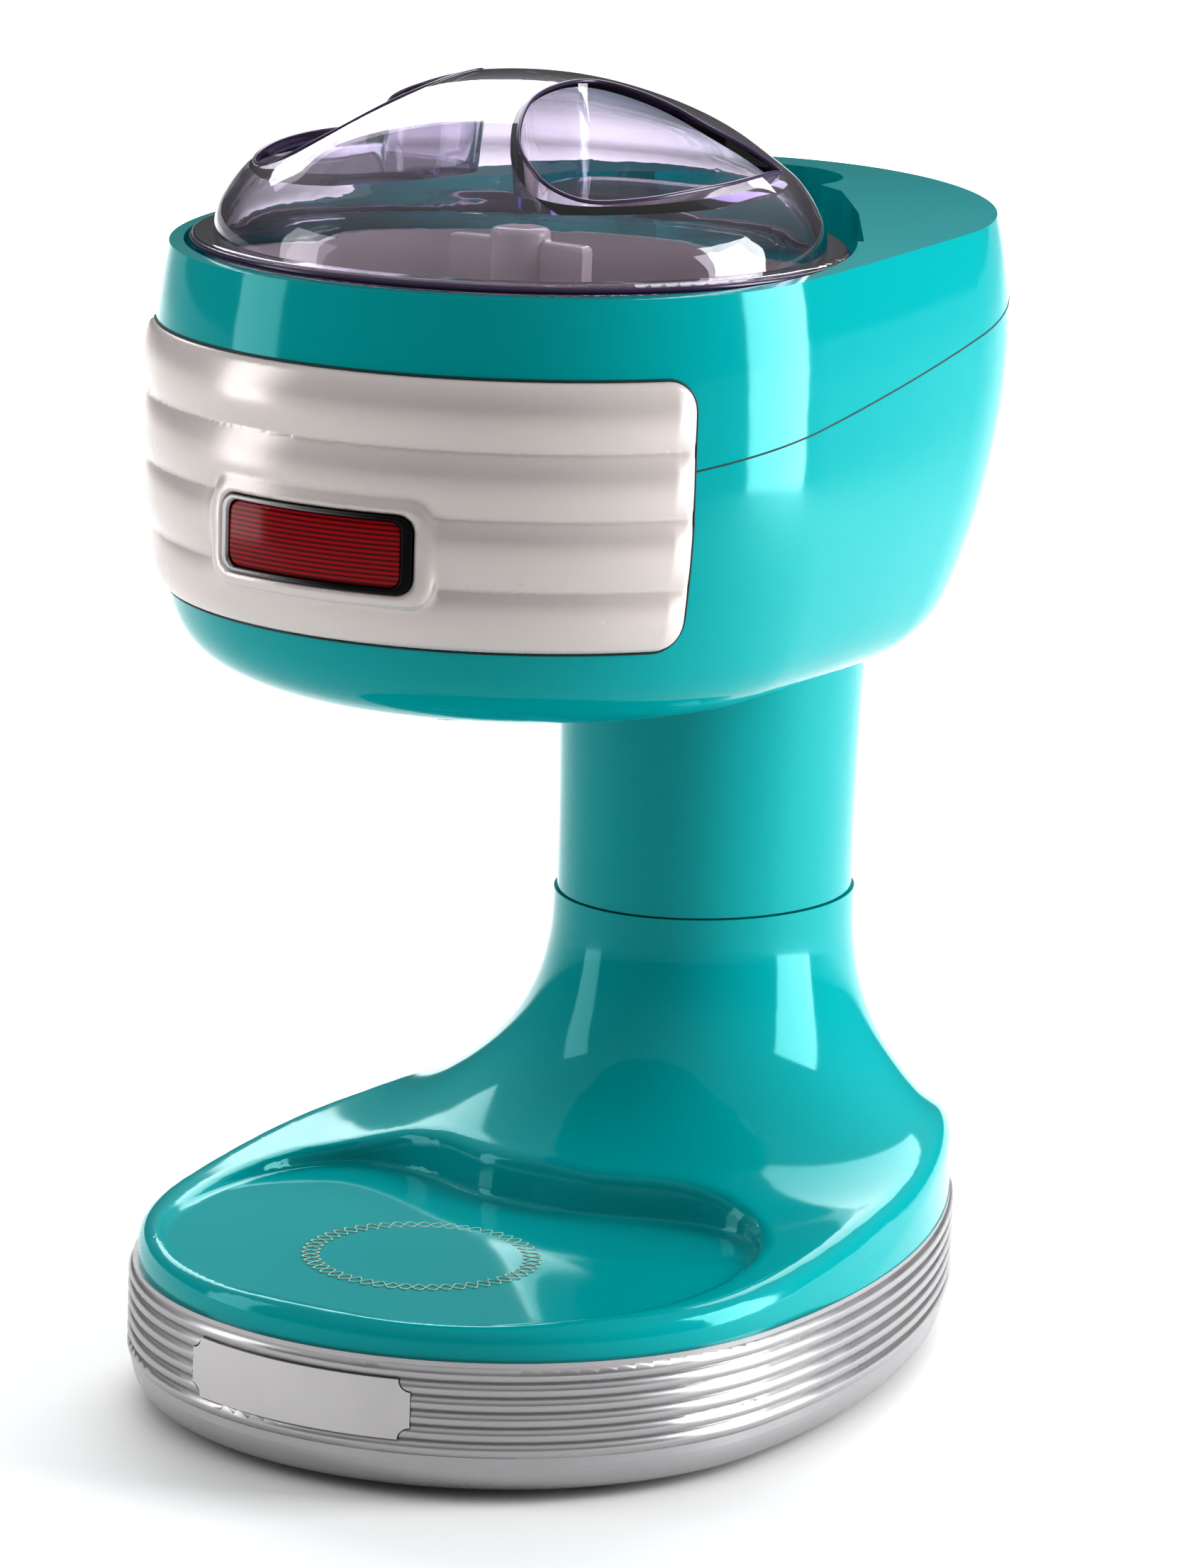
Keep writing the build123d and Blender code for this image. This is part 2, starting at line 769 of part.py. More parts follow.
# ------------------------------------------------------------------ column
with BuildPart() as column_upper:
    add(column_top())
    add(column_top(column_wall), mode=Mode.SUBTRACT)
    add(head_form(head_wall), mode=Mode.SUBTRACT)
    for height in (seam_z, upper_web_z):
        with BuildSketch(Plane.XY.offset(height)):
            waist_outline(web_inset)
            with Locations((0, column_y)):
                Circle(wire_hole_radius, mode=Mode.SUBTRACT)
        extrude(amount=web_thickness)
    for x, y in column_screw_places:
        add(cylinder(boss_radius, lower_web_top, seam_z + 12, x, y))
        add(cylinder(screw_radius, lower_web_top, seam_z + 12, x, y), mode=Mode.SUBTRACT)
    for x, y in upper_boss_places:
        add(cylinder(boss_radius, upper_web_z, gear_plate_z, x, y))
        add(cylinder(screw_radius, gear_plate_z - 10, gear_plate_z, x, y), mode=Mode.SUBTRACT)
save(column_upper.part, "column_upper")

with BuildPart() as column_screws:
    for x, y in column_screw_places:
        add(screw(screw_head_radius, screw_head_height, screw_radius, 13, (x, y, seam_z - web_drop)))
save(column_screws.part, "column_screws")


# ------------------------------------------------------------------ head shells
def radius_at(height):
    """Radius of the head's front arc at a height."""
    for (low, low_radius, _), (high, high_radius, _) in zip(head_sections, head_sections[1:]):
        if height <= high:
            return low_radius + (high_radius - low_radius) * (height - low) / (high - low)
    return head_sections[-1][1]


def around_head(angle, reach):
    """Point round the head's axis; the angle is counted from the front."""
    return (reach * sin(radians(angle)), head_y - reach * cos(radians(angle)))


def column_prism(places, radius, bottom_z, top_z):
    """Upright round posts at several places."""
    with BuildPart() as posts:
        for x, y in places:
            add(cylinder(radius, bottom_z, top_z, x, y))
    return posts.part


def bay_outline(height, grow=0.0):
    """Outline of the bay behind the lid; it opens into the round seat."""
    with BuildSketch(Plane.XY.offset(height)) as bay:
        with BuildLine():
            Polyline((0, 0), (74, 0), (76, 2), (55.5, 36), (34.5, 64.5), (25, 70), (25, 76))
            ThreePointArc((25, 76), (25 * sin(radians(45)), 76 + 25 * sin(radians(45))), (0, 101))
            mirror(about=Plane.YZ)
        make_face()
        if grow > 0:
            offset(amount=grow)
    return bay.sketch


def panel_sector(grow, inner_sink, outer_profile):
    """Curved block behind or in front of the head's wall; corners rounded."""
    half_angle = panel_half_angle + degrees(grow / head_radius)
    low = panel_bottom_z - grow
    high = panel_top_z + grow
    heights = [low + (high - low) * share / 6 for share in range(7)]
    with BuildPart() as sector:
        with BuildSketch(radial_plane(-half_angle, head_y)):
            with BuildLine():
                outer_profile(low, high)
                inner = [(radius_at(height) - inner_sink, height) for height in reversed(heights)]
                Spline(*inner)
                Line((radius_at(high) - inner_sink, high), panel_edge(high, grow))
                Line((radius_at(low) - inner_sink, low), panel_edge(low, grow))
            make_face()
        revolve(axis=head_axis, revolution_arc=2 * half_angle)
        corners = sector.edges().filter_by(GeomType.LINE)
        fillet(corners, panel_corner_radius + grow)
    return sector.part


def panel_edge(height, grow):
    """Outer end of the panel's upper or lower edge; a cutter stands further out."""
    return (radius_at(height) + (12 if grow > 0 else panel_proud), height)


def banded_profile(low, high):
    """Four convex bands, one above another."""
    edges = [low] + list(panel_valleys) + [high]
    for lower, upper in zip(edges, edges[1:]):
        middle = (lower + upper) / 2
        ThreePointArc(
            (radius_at(lower) + panel_proud, lower),
            (radius_at(middle) + panel_proud + panel_band_depth, middle),
            (radius_at(upper) + panel_proud, upper),
        )


def plain_profile(low, high):
    """Straight outer side of the cutter for the panel's pocket."""
    Line(panel_edge(low, 1), panel_edge(high, 1))


panel_pocket = panel_sector(fit_gap, panel_sink + fit_gap, plain_profile)

with BuildPart() as head_shell:
    add(head_form())
    add(head_form(head_wall), mode=Mode.SUBTRACT)
    add(panel_pocket, mode=Mode.SUBTRACT)

post_places = [around_head(angle, post_reach) for angle in (75, -75, 135, -135)]


def chute_outline(height, grow=0.0):
    """Section of the ice outlet at a height."""
    with BuildSketch(Plane.XY.offset(height)) as outline:
        with Locations((0, outlet_y)):
            RectangleRounded(
                2 * (outlet_half_width + grow), 2 * (outlet_half_depth + grow), outlet_corner + grow
            )
    return outline.sketch


with BuildPart() as head_fittings:
    add(column_prism(post_places, 4.0, head_bottom_z, ledge_bottom_z))
    add(column_prism(plate_boss_places, boss_radius, head_bottom_z, gear_plate_z))
    add(head_form(1.0), mode=Mode.INTERSECT)

with BuildPart() as head_lower:
    add(head_shell.part)
    split(bisect_by=parting_plane, keep=Keep.BOTTOM)
    add(column_top(-fit_gap), mode=Mode.SUBTRACT)
    add(chute_outline(head_bottom_z - 1, outlet_wall + fit_gap))
    extrude(amount=10, mode=Mode.SUBTRACT)
    add(head_fittings.part)
    add(column_prism(post_places, 1.6, ledge_bottom_z - 14, ledge_bottom_z), mode=Mode.SUBTRACT)
    add(column_prism(plate_boss_places, screw_radius, gear_plate_z - 5, gear_plate_z), mode=Mode.SUBTRACT)
save(head_lower.part, "head_lower")

with BuildPart() as seat_block:
    add(cylinder(seat_radius + collar_wall, ledge_bottom_z, head_crown_z + 5, 0, head_y))
    add(bay_outline(ledge_bottom_z, collar_wall))
    extrude(amount=40)
    add(head_form(1.0), mode=Mode.INTERSECT)

with BuildPart() as head_upper:
    add(head_shell.part)
    split(bisect_by=parting_plane, keep=Keep.TOP)
    add(seat_block.part)
    add(cylinder(seat_radius, ledge_z, head_crown_z + 5, 0, head_y), mode=Mode.SUBTRACT)
    add(bay_outline(ledge_z))
    extrude(amount=40, mode=Mode.SUBTRACT)
    add(cylinder(ledge_radius, ledge_bottom_z - 5, ledge_z + 5, 0, head_y), mode=Mode.SUBTRACT)
    add(column_prism(post_places, 1.6 + fit_gap, ledge_bottom_z - 1, ledge_z + 1), mode=Mode.SUBTRACT)
    add(column_prism(post_places, 3.15, ledge_z - 1.8, ledge_z + 1), mode=Mode.SUBTRACT)
    add(cylinder(plunger_radius + 0.4, ledge_bottom_z - 1, ledge_z + 1, *plunger_place), mode=Mode.SUBTRACT)
save(head_upper.part, "head_upper")

with BuildPart() as head_screws:
    for x, y in post_places:
        add(screw(3.0, 1.6, 1.6, 12, (x, y, ledge_z - 1.8), point_up=False))
save(head_screws.part, "head_screws")


# ------------------------------------------------------------------ front panel and badge
def front_pad(half_angle, height, inner_radius, outer_radius, bow, corner):
    """Curved pad on the front of the head, bowed a little at top and bottom."""
    width = 2 * outer_radius * sin(radians(half_angle))
    with BuildPart() as pad:
        with BuildSketch(Plane(origin=(0, head_y, badge_z), x_dir=(1, 0, 0), z_dir=(0, -1, 0))):
            with BuildLine():
                ThreePointArc((-width / 2, height / 2 - bow), (0, height / 2), (width / 2, height / 2 - bow))
                Line((width / 2, height / 2 - bow), (width / 2, bow - height / 2))
                ThreePointArc((width / 2, bow - height / 2), (0, -height / 2), (-width / 2, bow - height / 2))
                Line((-width / 2, bow - height / 2), (-width / 2, height / 2 - bow))
            make_face()
        extrude(amount=120)
        fillet(pad.edges().filter_by(Axis.Y), corner)
        add(ring(outer_radius, inner_radius, 150, 350, 0, head_y), mode=Mode.INTERSECT)
    return pad.part


with BuildPart() as front_panel:
    add(panel_sector(0, panel_sink, banded_profile))
    add(front_pad(
        surround_half_angle, surround_height, head_radius - 1.1, surround_radius, 1.4, 5.0
    ))
    add(
        front_pad(badge_half_angle, badge_height, badge_radius - badge_depth, head_radius + 20, 1.2, 4.0),
        mode=Mode.SUBTRACT,
    )
save(front_panel.part, "front_panel")

lens_half_angle = badge_half_angle - degrees(badge_rim / badge_radius)
lens_height = badge_height - 2 * badge_rim
with BuildPart() as badge_frame:
    add(front_pad(badge_half_angle, badge_height, badge_radius - badge_depth, badge_radius, 1.2, 4.0))
    add(
        front_pad(lens_half_angle, lens_height, badge_radius - 1.2, badge_radius + 20, 0.9, 2.4),
        mode=Mode.SUBTRACT,
    )
save(badge_frame.part, "badge_frame")
save(front_pad(lens_half_angle, lens_height, badge_radius - 1.2, lens_radius, 0.9, 2.4), "badge_lens")


# ------------------------------------------------------------------ ice outlet
with BuildPart() as outlet_chute:
    add(chute_outline(head_bottom_z - outlet_drop, outlet_wall))
    extrude(amount=bowl_bottom_z - slide_gap - head_bottom_z + outlet_drop)
    add(chute_outline(head_bottom_z + head_wall, outlet_wall + 5))
    extrude(amount=2)
    add(chute_outline(head_bottom_z - outlet_drop - 1))
    extrude(amount=bowl_bottom_z - head_bottom_z + outlet_drop + 2, mode=Mode.SUBTRACT)
save(outlet_chute.part, "outlet_chute")


# ------------------------------------------------------------------ bowl, blade and paddle
with BuildPart() as ice_bowl:
    add(cylinder(bowl_radius, bowl_bottom_z, bowl_lip_top, 0, head_y))
    add(cylinder(bowl_rim_radius, bowl_rim_bottom, bowl_rim_top, 0, head_y))
    add(cylinder(bowl_radius - bowl_wall, bowl_floor_z, bowl_lip_top + 1, 0, head_y), mode=Mode.SUBTRACT)
    add(cylinder(hub_radius, bowl_floor_z, hub_top_z, 0, head_y))
    add(cylinder(drive_shaft_radius + slide_gap, 200, hub_top_z + 1, 0, head_y), mode=Mode.SUBTRACT)
    add(cylinder(seal_radius, hub_top_z - seal_height, hub_top_z + 1, 0, head_y), mode=Mode.SUBTRACT)
    add(chute_outline(bowl_bottom_z - 1))
    extrude(amount=bowl_floor + 2, mode=Mode.SUBTRACT)
    for side in (-1, 1):
        spot = (side * blade_screw_x, outlet_y + blade_back)
        add(cylinder(1.2, bowl_floor_z - 2.4, bowl_floor_z, *spot), mode=Mode.SUBTRACT)
save(ice_bowl.part, "ice_bowl")

save(
    ring(seal_radius, drive_shaft_radius + running_gap, hub_top_z - seal_height, hub_top_z, 0, head_y),
    "shaft_seal",
)

blade_top_z = bowl_floor_z + disc_thickness + blade_thickness
with BuildPart() as blade_disc:
    add(ring(disc_radius, hub_radius, bowl_floor_z, bowl_floor_z + disc_thickness, 0, head_y))
    with BuildSketch(Plane.XY.offset(bowl_floor_z - 1)):
        with Locations((0, outlet_y)):
            SlotOverall(2 * outlet_half_width - 2, slot_width)
    extrude(amount=disc_thickness + 2, mode=Mode.SUBTRACT)
    for side in (-1, 1):
        spot = (side * blade_screw_x, outlet_y + blade_back)
        add(cylinder(1.2, bowl_floor_z - 1, bowl_floor_z + 4, *spot), mode=Mode.SUBTRACT)
save(blade_disc.part, "blade_disc")

with BuildPart() as blade:
    with BuildSketch(Plane.YZ):
        with BuildLine():
            Polyline(
                (outlet_y - 1.0, blade_top_z),
                (outlet_y + blade_back + 5, blade_top_z),
                (outlet_y + blade_back + 5, blade_top_z - blade_thickness),
                (outlet_y + 1.0, blade_top_z - blade_thickness),
                (outlet_y - 1.0, blade_top_z - 0.2),
                close=True,
            )
        make_face()
    extrude(amount=outlet_half_width + 1, both=True)
    for side in (-1, 1):
        spot = (side * blade_screw_x, outlet_y + blade_back)
        add(cylinder(1.2, bowl_floor_z, blade_top_z + 1, *spot), mode=Mode.SUBTRACT)
save(blade.part, "blade")

with BuildPart() as blade_screws:
    for side in (-1, 1):
        place = (side * blade_screw_x, outlet_y + blade_back, blade_top_z)
        add(screw(2.4, 0.9, 1.2, blade_top_z - bowl_floor_z + 2.2, place, point_up=False))
save(blade_screws.part, "blade_screws")

with BuildPart() as paddle:
    add(cylinder(post_radius, hub_top_z + 1, post_top_z, 0, head_y))
    fillet(paddle.edges().group_by(Axis.Z)[-1], 2.0)
    add(cylinder(skirt_hub_radius, arm_bottom_z, hub_top_z + 6, 0, head_y))
    add(slab_at(2 * wing_reach, wing_thickness, hub_top_z + 2, wing_top_z, 0, head_y))
    fillet(paddle.faces().filter_by_position(Axis.Z, wing_top_z - 0.1, wing_top_z + 0.1).edges(), 1.2)
    add(slab_at(2 * arm_reach, wing_thickness, arm_bottom_z, arm_bottom_z + arm_height, 0, head_y, 2.4))
    add(cylinder(hub_radius + 0.6, arm_bottom_z - 1, hub_top_z + 0.6, 0, head_y), mode=Mode.SUBTRACT)
    add(
        slab_at(
            socket_width + 2 * fit_gap, socket_width + 2 * fit_gap, hub_top_z, square_top_z + 0.5, 0, head_y
        ),
        mode=Mode.SUBTRACT,
    )
save(paddle.part, "paddle")


# ------------------------------------------------------------------ lid
dome_profile = (
    # radius, height
    (0.0, 352.5),
    (16.0, 351.5),
    (38.0, 346.0),
    (57.0, 337.0),
    (66.0, 330.5),
    (71.5, 326.0),
    (76.5, 319.0),
    (79.0, 310.0),
)
scoop_outer_edge = (
    (25.9, -41.8), (35.0, -49.6), (43.9, -50.3), (51.4, -45.7), (59.2, -33.0), (64.0, -15.4), (65.0, 0.9),
    (62.5, 19.5), (60.0, 24.5),
)
scoop_middle = (42.0, -14.0)
scoop_inner_edge = ((48.0, 11.7), (38.0, 10.0), (28.0, 9.0), (19.7, 5.0), (18.0, -9.0), (19.4, -24.7))


def dome(inset=0.0):
    """Solid under the lid's dome, down to the flange's underside."""
    with BuildPart() as solid:
        with BuildSketch(Plane.XZ.offset(-head_y)):
            with BuildLine():
                outer = [(radius * (1 - inset / 79.0), height - inset) for radius, height in dome_profile]
                Spline(*outer, tangents=((1, 0), (0.1, -1)))
                Line(outer[-1], (outer[-1][0], flange_z - 1))
                Line((outer[-1][0], flange_z - 1), (0, flange_z - 1))
                Line((0, flange_z - 1), outer[0])
            make_face()
        revolve(axis=head_axis)
    return solid.part


def scoop_outline(height, grow, side):
    """Outline of one scoop at a height, moved outwards from its middle by grow."""
    with BuildSketch(Plane(origin=(0, head_y, height))) as outline:
        moved = []
        for x, y in scoop_outer_edge + scoop_inner_edge:
            out_x = x - scoop_middle[0]
            out_y = y - scoop_middle[1]
            share = 1 + grow / hypot(out_x, out_y)
            moved.append((side * (scoop_middle[0] + share * out_x), scoop_middle[1] + share * out_y))
        with BuildLine():
            Spline(*moved, periodic=True)
        make_face()
    return outline.sketch


def scoops(grow, floor_z):
    """The two finger scoops beside the grip ridge; they widen upwards."""
    with BuildPart() as pair:
        for side in (1, -1):
            with BuildPart(mode=Mode.PRIVATE) as scoop:
                add(scoop_outline(floor_z, grow, side))
                add(scoop_outline(floor_z + 40, grow + 5, side))
                loft()
            add(scoop.part)
    return pair.part


with BuildPart() as lid_inner:
    add(dome(lid_wall))
    add(scoops(lid_wall, scoop_floor_z - lid_wall), mode=Mode.SUBTRACT)

tab_plane = Plane(origin=(0, head_y, flange_z), x_dir=(
    sin(radians(switch_angle)), -cos(radians(switch_angle)), 0
), z_dir=(0, 0, 1))
with BuildPart() as lid:
    add(cylinder(flange_radius, flange_z, flange_top_z, 0, head_y))
    fillet(lid.edges(), 1.2)
    add(dome())
    add(scoops(0, scoop_floor_z), mode=Mode.SUBTRACT)
    add(ring(skirt_radius, skirt_radius - skirt_wall, skirt_bottom_z, flange_top_z, 0, head_y))
    with BuildSketch(tab_plane):
        with Locations((switch_reach - 3, 0)):
            Rectangle(14, 2 * tab_half_width)
    extrude(amount=flange_thickness)
    add(cylinder(finger_radius, finger_bottom_z, flange_top_z - 1, *plunger_place))
    add(lid_inner.part, mode=Mode.SUBTRACT)
save(lid.part, "lid")


# ------------------------------------------------------------------ safety switch
with BuildPart() as safety_switch:
    with BuildSketch(Plane(origin=(*plunger_place, ledge_bottom_z - switch_depth), x_dir=tab_plane.x_dir)):
        Rectangle(8.4, 14)
    extrude(amount=switch_depth)
    add(cylinder(
        plunger_radius + running_gap, ledge_bottom_z - switch_depth + 2, ledge_z, *plunger_place
    ), mode=Mode.SUBTRACT)
save(safety_switch.part, "safety_switch")

with BuildPart() as safety_plunger:
    plunger_bottom = ledge_bottom_z - switch_depth + 2 + plunger_travel + 0.5
    add(cylinder(plunger_radius, plunger_bottom, finger_bottom_z - slide_gap, *plunger_place))
    fillet(safety_plunger.edges().group_by(Axis.Z)[-1], 0.8)
save(safety_plunger.part, "safety_plunger")


# ------------------------------------------------------------------ gear train
def gear_face(teeth, tooth_at, bore_radius):
    """Involute gear outline with a bore; tooth_at is the direction of one tooth in degrees."""
    pitch_radius = module_size * teeth / 2
    base_radius = pitch_radius * cos(radians(20))
    tip_radius = pitch_radius + module_size
    root_radius = pitch_radius - 1.25 * module_size
    half_tooth = (pi * module_size / 2 - gear_backlash / 2) / 2 / pitch_radius
    involute_at_pitch = tan(radians(20)) - radians(20)
    start_radius = max(base_radius, root_radius)

    def flank(radius, side):
        pressure = acos(min(1.0, base_radius / radius))
        swing = half_tooth + involute_at_pitch - (tan(pressure) - pressure)
        return radius, side * swing

    def at(radius, angle, middle):
        return radius * cos(middle + angle), radius * sin(middle + angle)

    radii = [start_radius + (tip_radius - start_radius) * step / 3 for step in range(4)]
    with BuildSketch() as face:
        with BuildLine():
            for tooth in range(teeth):
                middle = radians(tooth_at) + 2 * pi * tooth / teeth
                rising = [at(*flank(radius, -1), middle) for radius in radii]
                falling = [at(*flank(radius, 1), middle) for radius in reversed(radii)]
                root_swing = flank(start_radius, 1)[1]
                root_in = at(root_radius, -root_swing, middle)
                root_out = at(root_radius, root_swing, middle)
                next_in = at(root_radius, -root_swing, middle + 2 * pi / teeth)
                root_middle = at(root_radius, pi / teeth, middle)
                if start_radius > root_radius:
                    Line(root_in, rising[0])
                    Line(falling[-1], root_out)
                else:
                    root_out = falling[-1]
                    next_in = at(*flank(start_radius, -1), middle + 2 * pi / teeth)
                Spline(*rising)
                ThreePointArc(rising[-1], at(tip_radius, 0, middle), falling[0])
                Spline(*falling)
                ThreePointArc(root_out, root_middle, next_in)
        make_face()
        Circle(bore_radius, mode=Mode.SUBTRACT)
    return face.sketch


def gear(teeth, tooth_at, bore_radius, y, level):
    """One gear wheel on its level."""
    with BuildPart() as wheel:
        add(Pos(0, y, gear_level(level)) * gear_face(teeth, tooth_at, bore_radius))
        extrude(amount=gear_width)
    return wheel.part


def meshing_at(teeth):
    """Direction of a tooth that leaves a gap towards the neighbour at -Y."""
    return 270 + 180 / teeth


pin_bore = gear_pin_radius + running_gap
save(gear(drive_teeth, 90, drive_shaft_radius, drive_y, 2), "drive_gear")

with BuildPart() as second_gear:
    add(gear(second_small_teeth, meshing_at(second_small_teeth), pin_bore, second_y, 2))
    add(gear(second_large_teeth, 90, pin_bore, second_y, 1))
    add(ring(8, pin_bore, gear_level(1), gear_level(2) + gear_width, 0, second_y))
save(second_gear.part, "second_gear")

with BuildPart() as first_gear:
    add(gear(first_small_teeth, meshing_at(first_small_teeth), pin_bore, first_y, 1))
    add(gear(first_large_teeth, 90, pin_bore, first_y, 0))
    add(ring(7, pin_bore, gear_level(0), gear_level(1) + gear_width, 0, first_y))
save(first_gear.part, "first_gear")

save(gear(pinion_teeth, meshing_at(pinion_teeth), motor_shaft_radius, motor_y, 0), "motor_pinion")

for pin_y, name in ((second_y, "second_gear_pin"), (first_y, "first_gear_pin")):
    save(cylinder(gear_pin_radius, gear_plate_z, gear_cover_top, 0, pin_y), name)

with BuildPart() as drive_shaft:
    add(cylinder(drive_shaft_radius, gear_plate_z, hub_top_z, 0, head_y))
    add(slab_at(socket_width, socket_width, hub_top_z - 1, square_top_z, 0, head_y))
save(drive_shaft.part, "drive_shaft")

with BuildPart() as drive_bush:
    add(cylinder(bush_radius, gear_level(2) + gear_width + 0.5, gear_cover_top, 0, head_y))
    add(cylinder(bush_radius + 2.5, gear_cover_top, gear_cover_top + 1.2, 0, head_y))
    add(cylinder(drive_shaft_radius + running_gap, gear_plate_z, bowl_floor_z, 0, head_y), mode=Mode.SUBTRACT)
save(drive_bush.part, "drive_bush")


def plate_outline(height):
    """Outline shared by the gear plate: a strip, two ears and a tail inside the column."""
    with BuildSketch(Plane.XY.offset(height)) as outline:
        with Locations((0, (plate_front_y + plate_strip_rear) / 2)):
            RectangleRounded(2 * plate_half_width, plate_strip_rear - plate_front_y, 10)
        with Locations(*plate_boss_places[2:]):
            Circle(6)
        with Locations((0, (plate_strip_rear + plate_rear_y) / 2 - 10)):
            RectangleRounded(60, plate_rear_y - plate_strip_rear + 20, 8)
    return outline.sketch


with BuildPart() as gear_plate:
    add(plate_outline(gear_plate_z))
    extrude(amount=gear_plate_thickness)
    for x, y in plate_boss_places + upper_boss_places:
        add(cylinder(screw_radius + fit_gap, gear_plate_z - 1, gear_plate_z + 5, x, y), mode=Mode.SUBTRACT)
    add(column_prism(cover_post_places, 1.5, gear_plate_z - 1, gear_plate_z + 5), mode=Mode.SUBTRACT)
    for x, y, radius in (
        (0, head_y, drive_shaft_radius + running_gap),
        (0, second_y, gear_pin_radius),
        (0, first_y, gear_pin_radius),
    ):
        add(cylinder(radius, gear_plate_z - 1, gear_plate_z + 5, x, y), mode=Mode.SUBTRACT)
save(gear_plate.part, "gear_plate")

with BuildPart() as plate_screws:
    for x, y in plate_boss_places + upper_boss_places:
        place = (x, y, gear_plate_z + gear_plate_thickness)
        add(screw(3.2, 1.6, screw_radius, 7, place, point_up=False))
save(plate_screws.part, "plate_screws")

with BuildPart() as gear_cover:
    with BuildSketch(Plane.XY.offset(gear_cover_z)):
        with Locations((0, (cover_front_y + cover_rear_y) / 2)):
            RectangleRounded(2 * cover_half_width, cover_rear_y - cover_front_y, 9)
        with Locations((0, motor_y)):
            Circle(motor_radius + 5)
    extrude(amount=gear_cover_thickness)
    add(column_prism(cover_post_places, 3.6, gear_plate_z + gear_plate_thickness, gear_cover_z + 1))
    add(column_prism(cover_post_places, 1.5, gear_plate_z, gear_cover_top + 1), mode=Mode.SUBTRACT)
    for x, y, radius in (
        (0, head_y, bush_radius),
        (0, second_y, gear_pin_radius),
        (0, first_y, gear_pin_radius),
        (0, motor_y, motor_boss_radius),
    ):
        add(cylinder(radius, gear_cover_z - 1, gear_cover_top + 1, x, y), mode=Mode.SUBTRACT)
    add(column_prism(motor_screw_places, 1.5, gear_cover_z - 1, gear_cover_top + 1), mode=Mode.SUBTRACT)
save(gear_cover.part, "gear_cover")

with BuildPart() as cover_screws:
    for x, y in cover_post_places:
        add(screw(3.0, 1.5, 1.5, gear_cover_top - gear_plate_z - 0.4, (x, y, gear_cover_top), point_up=False))
save(cover_screws.part, "cover_screws")


# ------------------------------------------------------------------ motor
with BuildPart() as motor_case:
    add(cylinder(motor_radius, motor_z, motor_top, 0, motor_y))
    fillet(motor_case.edges(), 1.2)
    add(cylinder(motor_boss_radius, gear_cover_z, motor_z + 1, 0, motor_y))
    add(cylinder(motor_radius - 2, motor_z + 3, motor_top - 3, 0, motor_y), mode=Mode.SUBTRACT)
    add(
        cylinder(motor_shaft_radius + running_gap, gear_cover_z - 1, motor_top + 1, 0, motor_y),
        mode=Mode.SUBTRACT,
    )
    add(column_prism(motor_screw_places, 1.5, motor_z - 1, motor_z + 2.6), mode=Mode.SUBTRACT)
save(motor_case.part, "motor_case")

with BuildPart() as motor_screws:
    for x, y in motor_screw_places:
        add(screw(2.6, 1.2, 1.5, gear_cover_thickness + 2.4, (x, y, gear_cover_z)))
save(motor_screws.part, "motor_screws")

save(ring(motor_radius - 6, motor_shaft_radius, motor_z + 9, motor_top - 9, 0, motor_y), "motor_armature")
save(cylinder(motor_shaft_radius, gear_level(0), fan_top_z, 0, motor_y), "motor_shaft")

with BuildPart() as cooling_fan:
    add(ring(5, motor_shaft_radius, fan_top_z - 7, fan_top_z, 0, motor_y))
    add(ring(19, motor_shaft_radius, fan_top_z - 7, fan_top_z - 6, 0, motor_y))
    for number in range(9):
        add(Pos(0, motor_y, 0) * Rot(0, 0, 40 * number) * slab_at(14, 1.2, fan_top_z - 6.5, fan_top_z, 11.5))
save(cooling_fan.part, "cooling_fan")
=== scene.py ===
"""Ice shaver for slush drinks: smooth shells, clear lid, panel, trim, finishes and a studio."""

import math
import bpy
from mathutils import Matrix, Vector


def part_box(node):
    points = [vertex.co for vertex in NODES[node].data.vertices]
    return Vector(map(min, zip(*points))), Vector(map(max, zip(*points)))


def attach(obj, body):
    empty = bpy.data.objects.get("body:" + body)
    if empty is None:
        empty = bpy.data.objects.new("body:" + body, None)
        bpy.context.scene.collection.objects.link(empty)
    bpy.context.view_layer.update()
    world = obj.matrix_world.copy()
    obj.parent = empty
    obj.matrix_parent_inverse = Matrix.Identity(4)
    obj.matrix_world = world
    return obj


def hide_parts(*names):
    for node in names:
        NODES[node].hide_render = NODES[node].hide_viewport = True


bl_info = {
    "name": "Ice shaver",
    "version": (1, 0, 0),
    "blender": (4, 5, 0),
    "location": "3D View > Sidebar > Ice Shaver",
    "description": "Dresses the packed ice shaver with its finishes, smooth outer forms and studio",
    "category": "Object",
}

import bpy
import numpy as np
from mathutils import Matrix, Vector

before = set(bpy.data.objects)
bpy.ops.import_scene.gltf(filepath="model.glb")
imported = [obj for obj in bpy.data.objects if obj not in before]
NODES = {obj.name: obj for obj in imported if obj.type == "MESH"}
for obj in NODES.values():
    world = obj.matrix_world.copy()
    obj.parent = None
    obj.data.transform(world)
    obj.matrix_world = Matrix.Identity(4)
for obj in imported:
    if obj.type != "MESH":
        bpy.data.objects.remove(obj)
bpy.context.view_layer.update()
MM = 0.001


def middle_of(node):
    """Middle of a CAD node at rest, in millimetres."""
    low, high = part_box(node)
    return (Vector(low) + Vector(high)) / 2 / MM


HEAD_Y = middle_of("drive_gear").y      # axis of the bowl, the lid and the front panel
BADGE_Z = middle_of("badge_frame").z


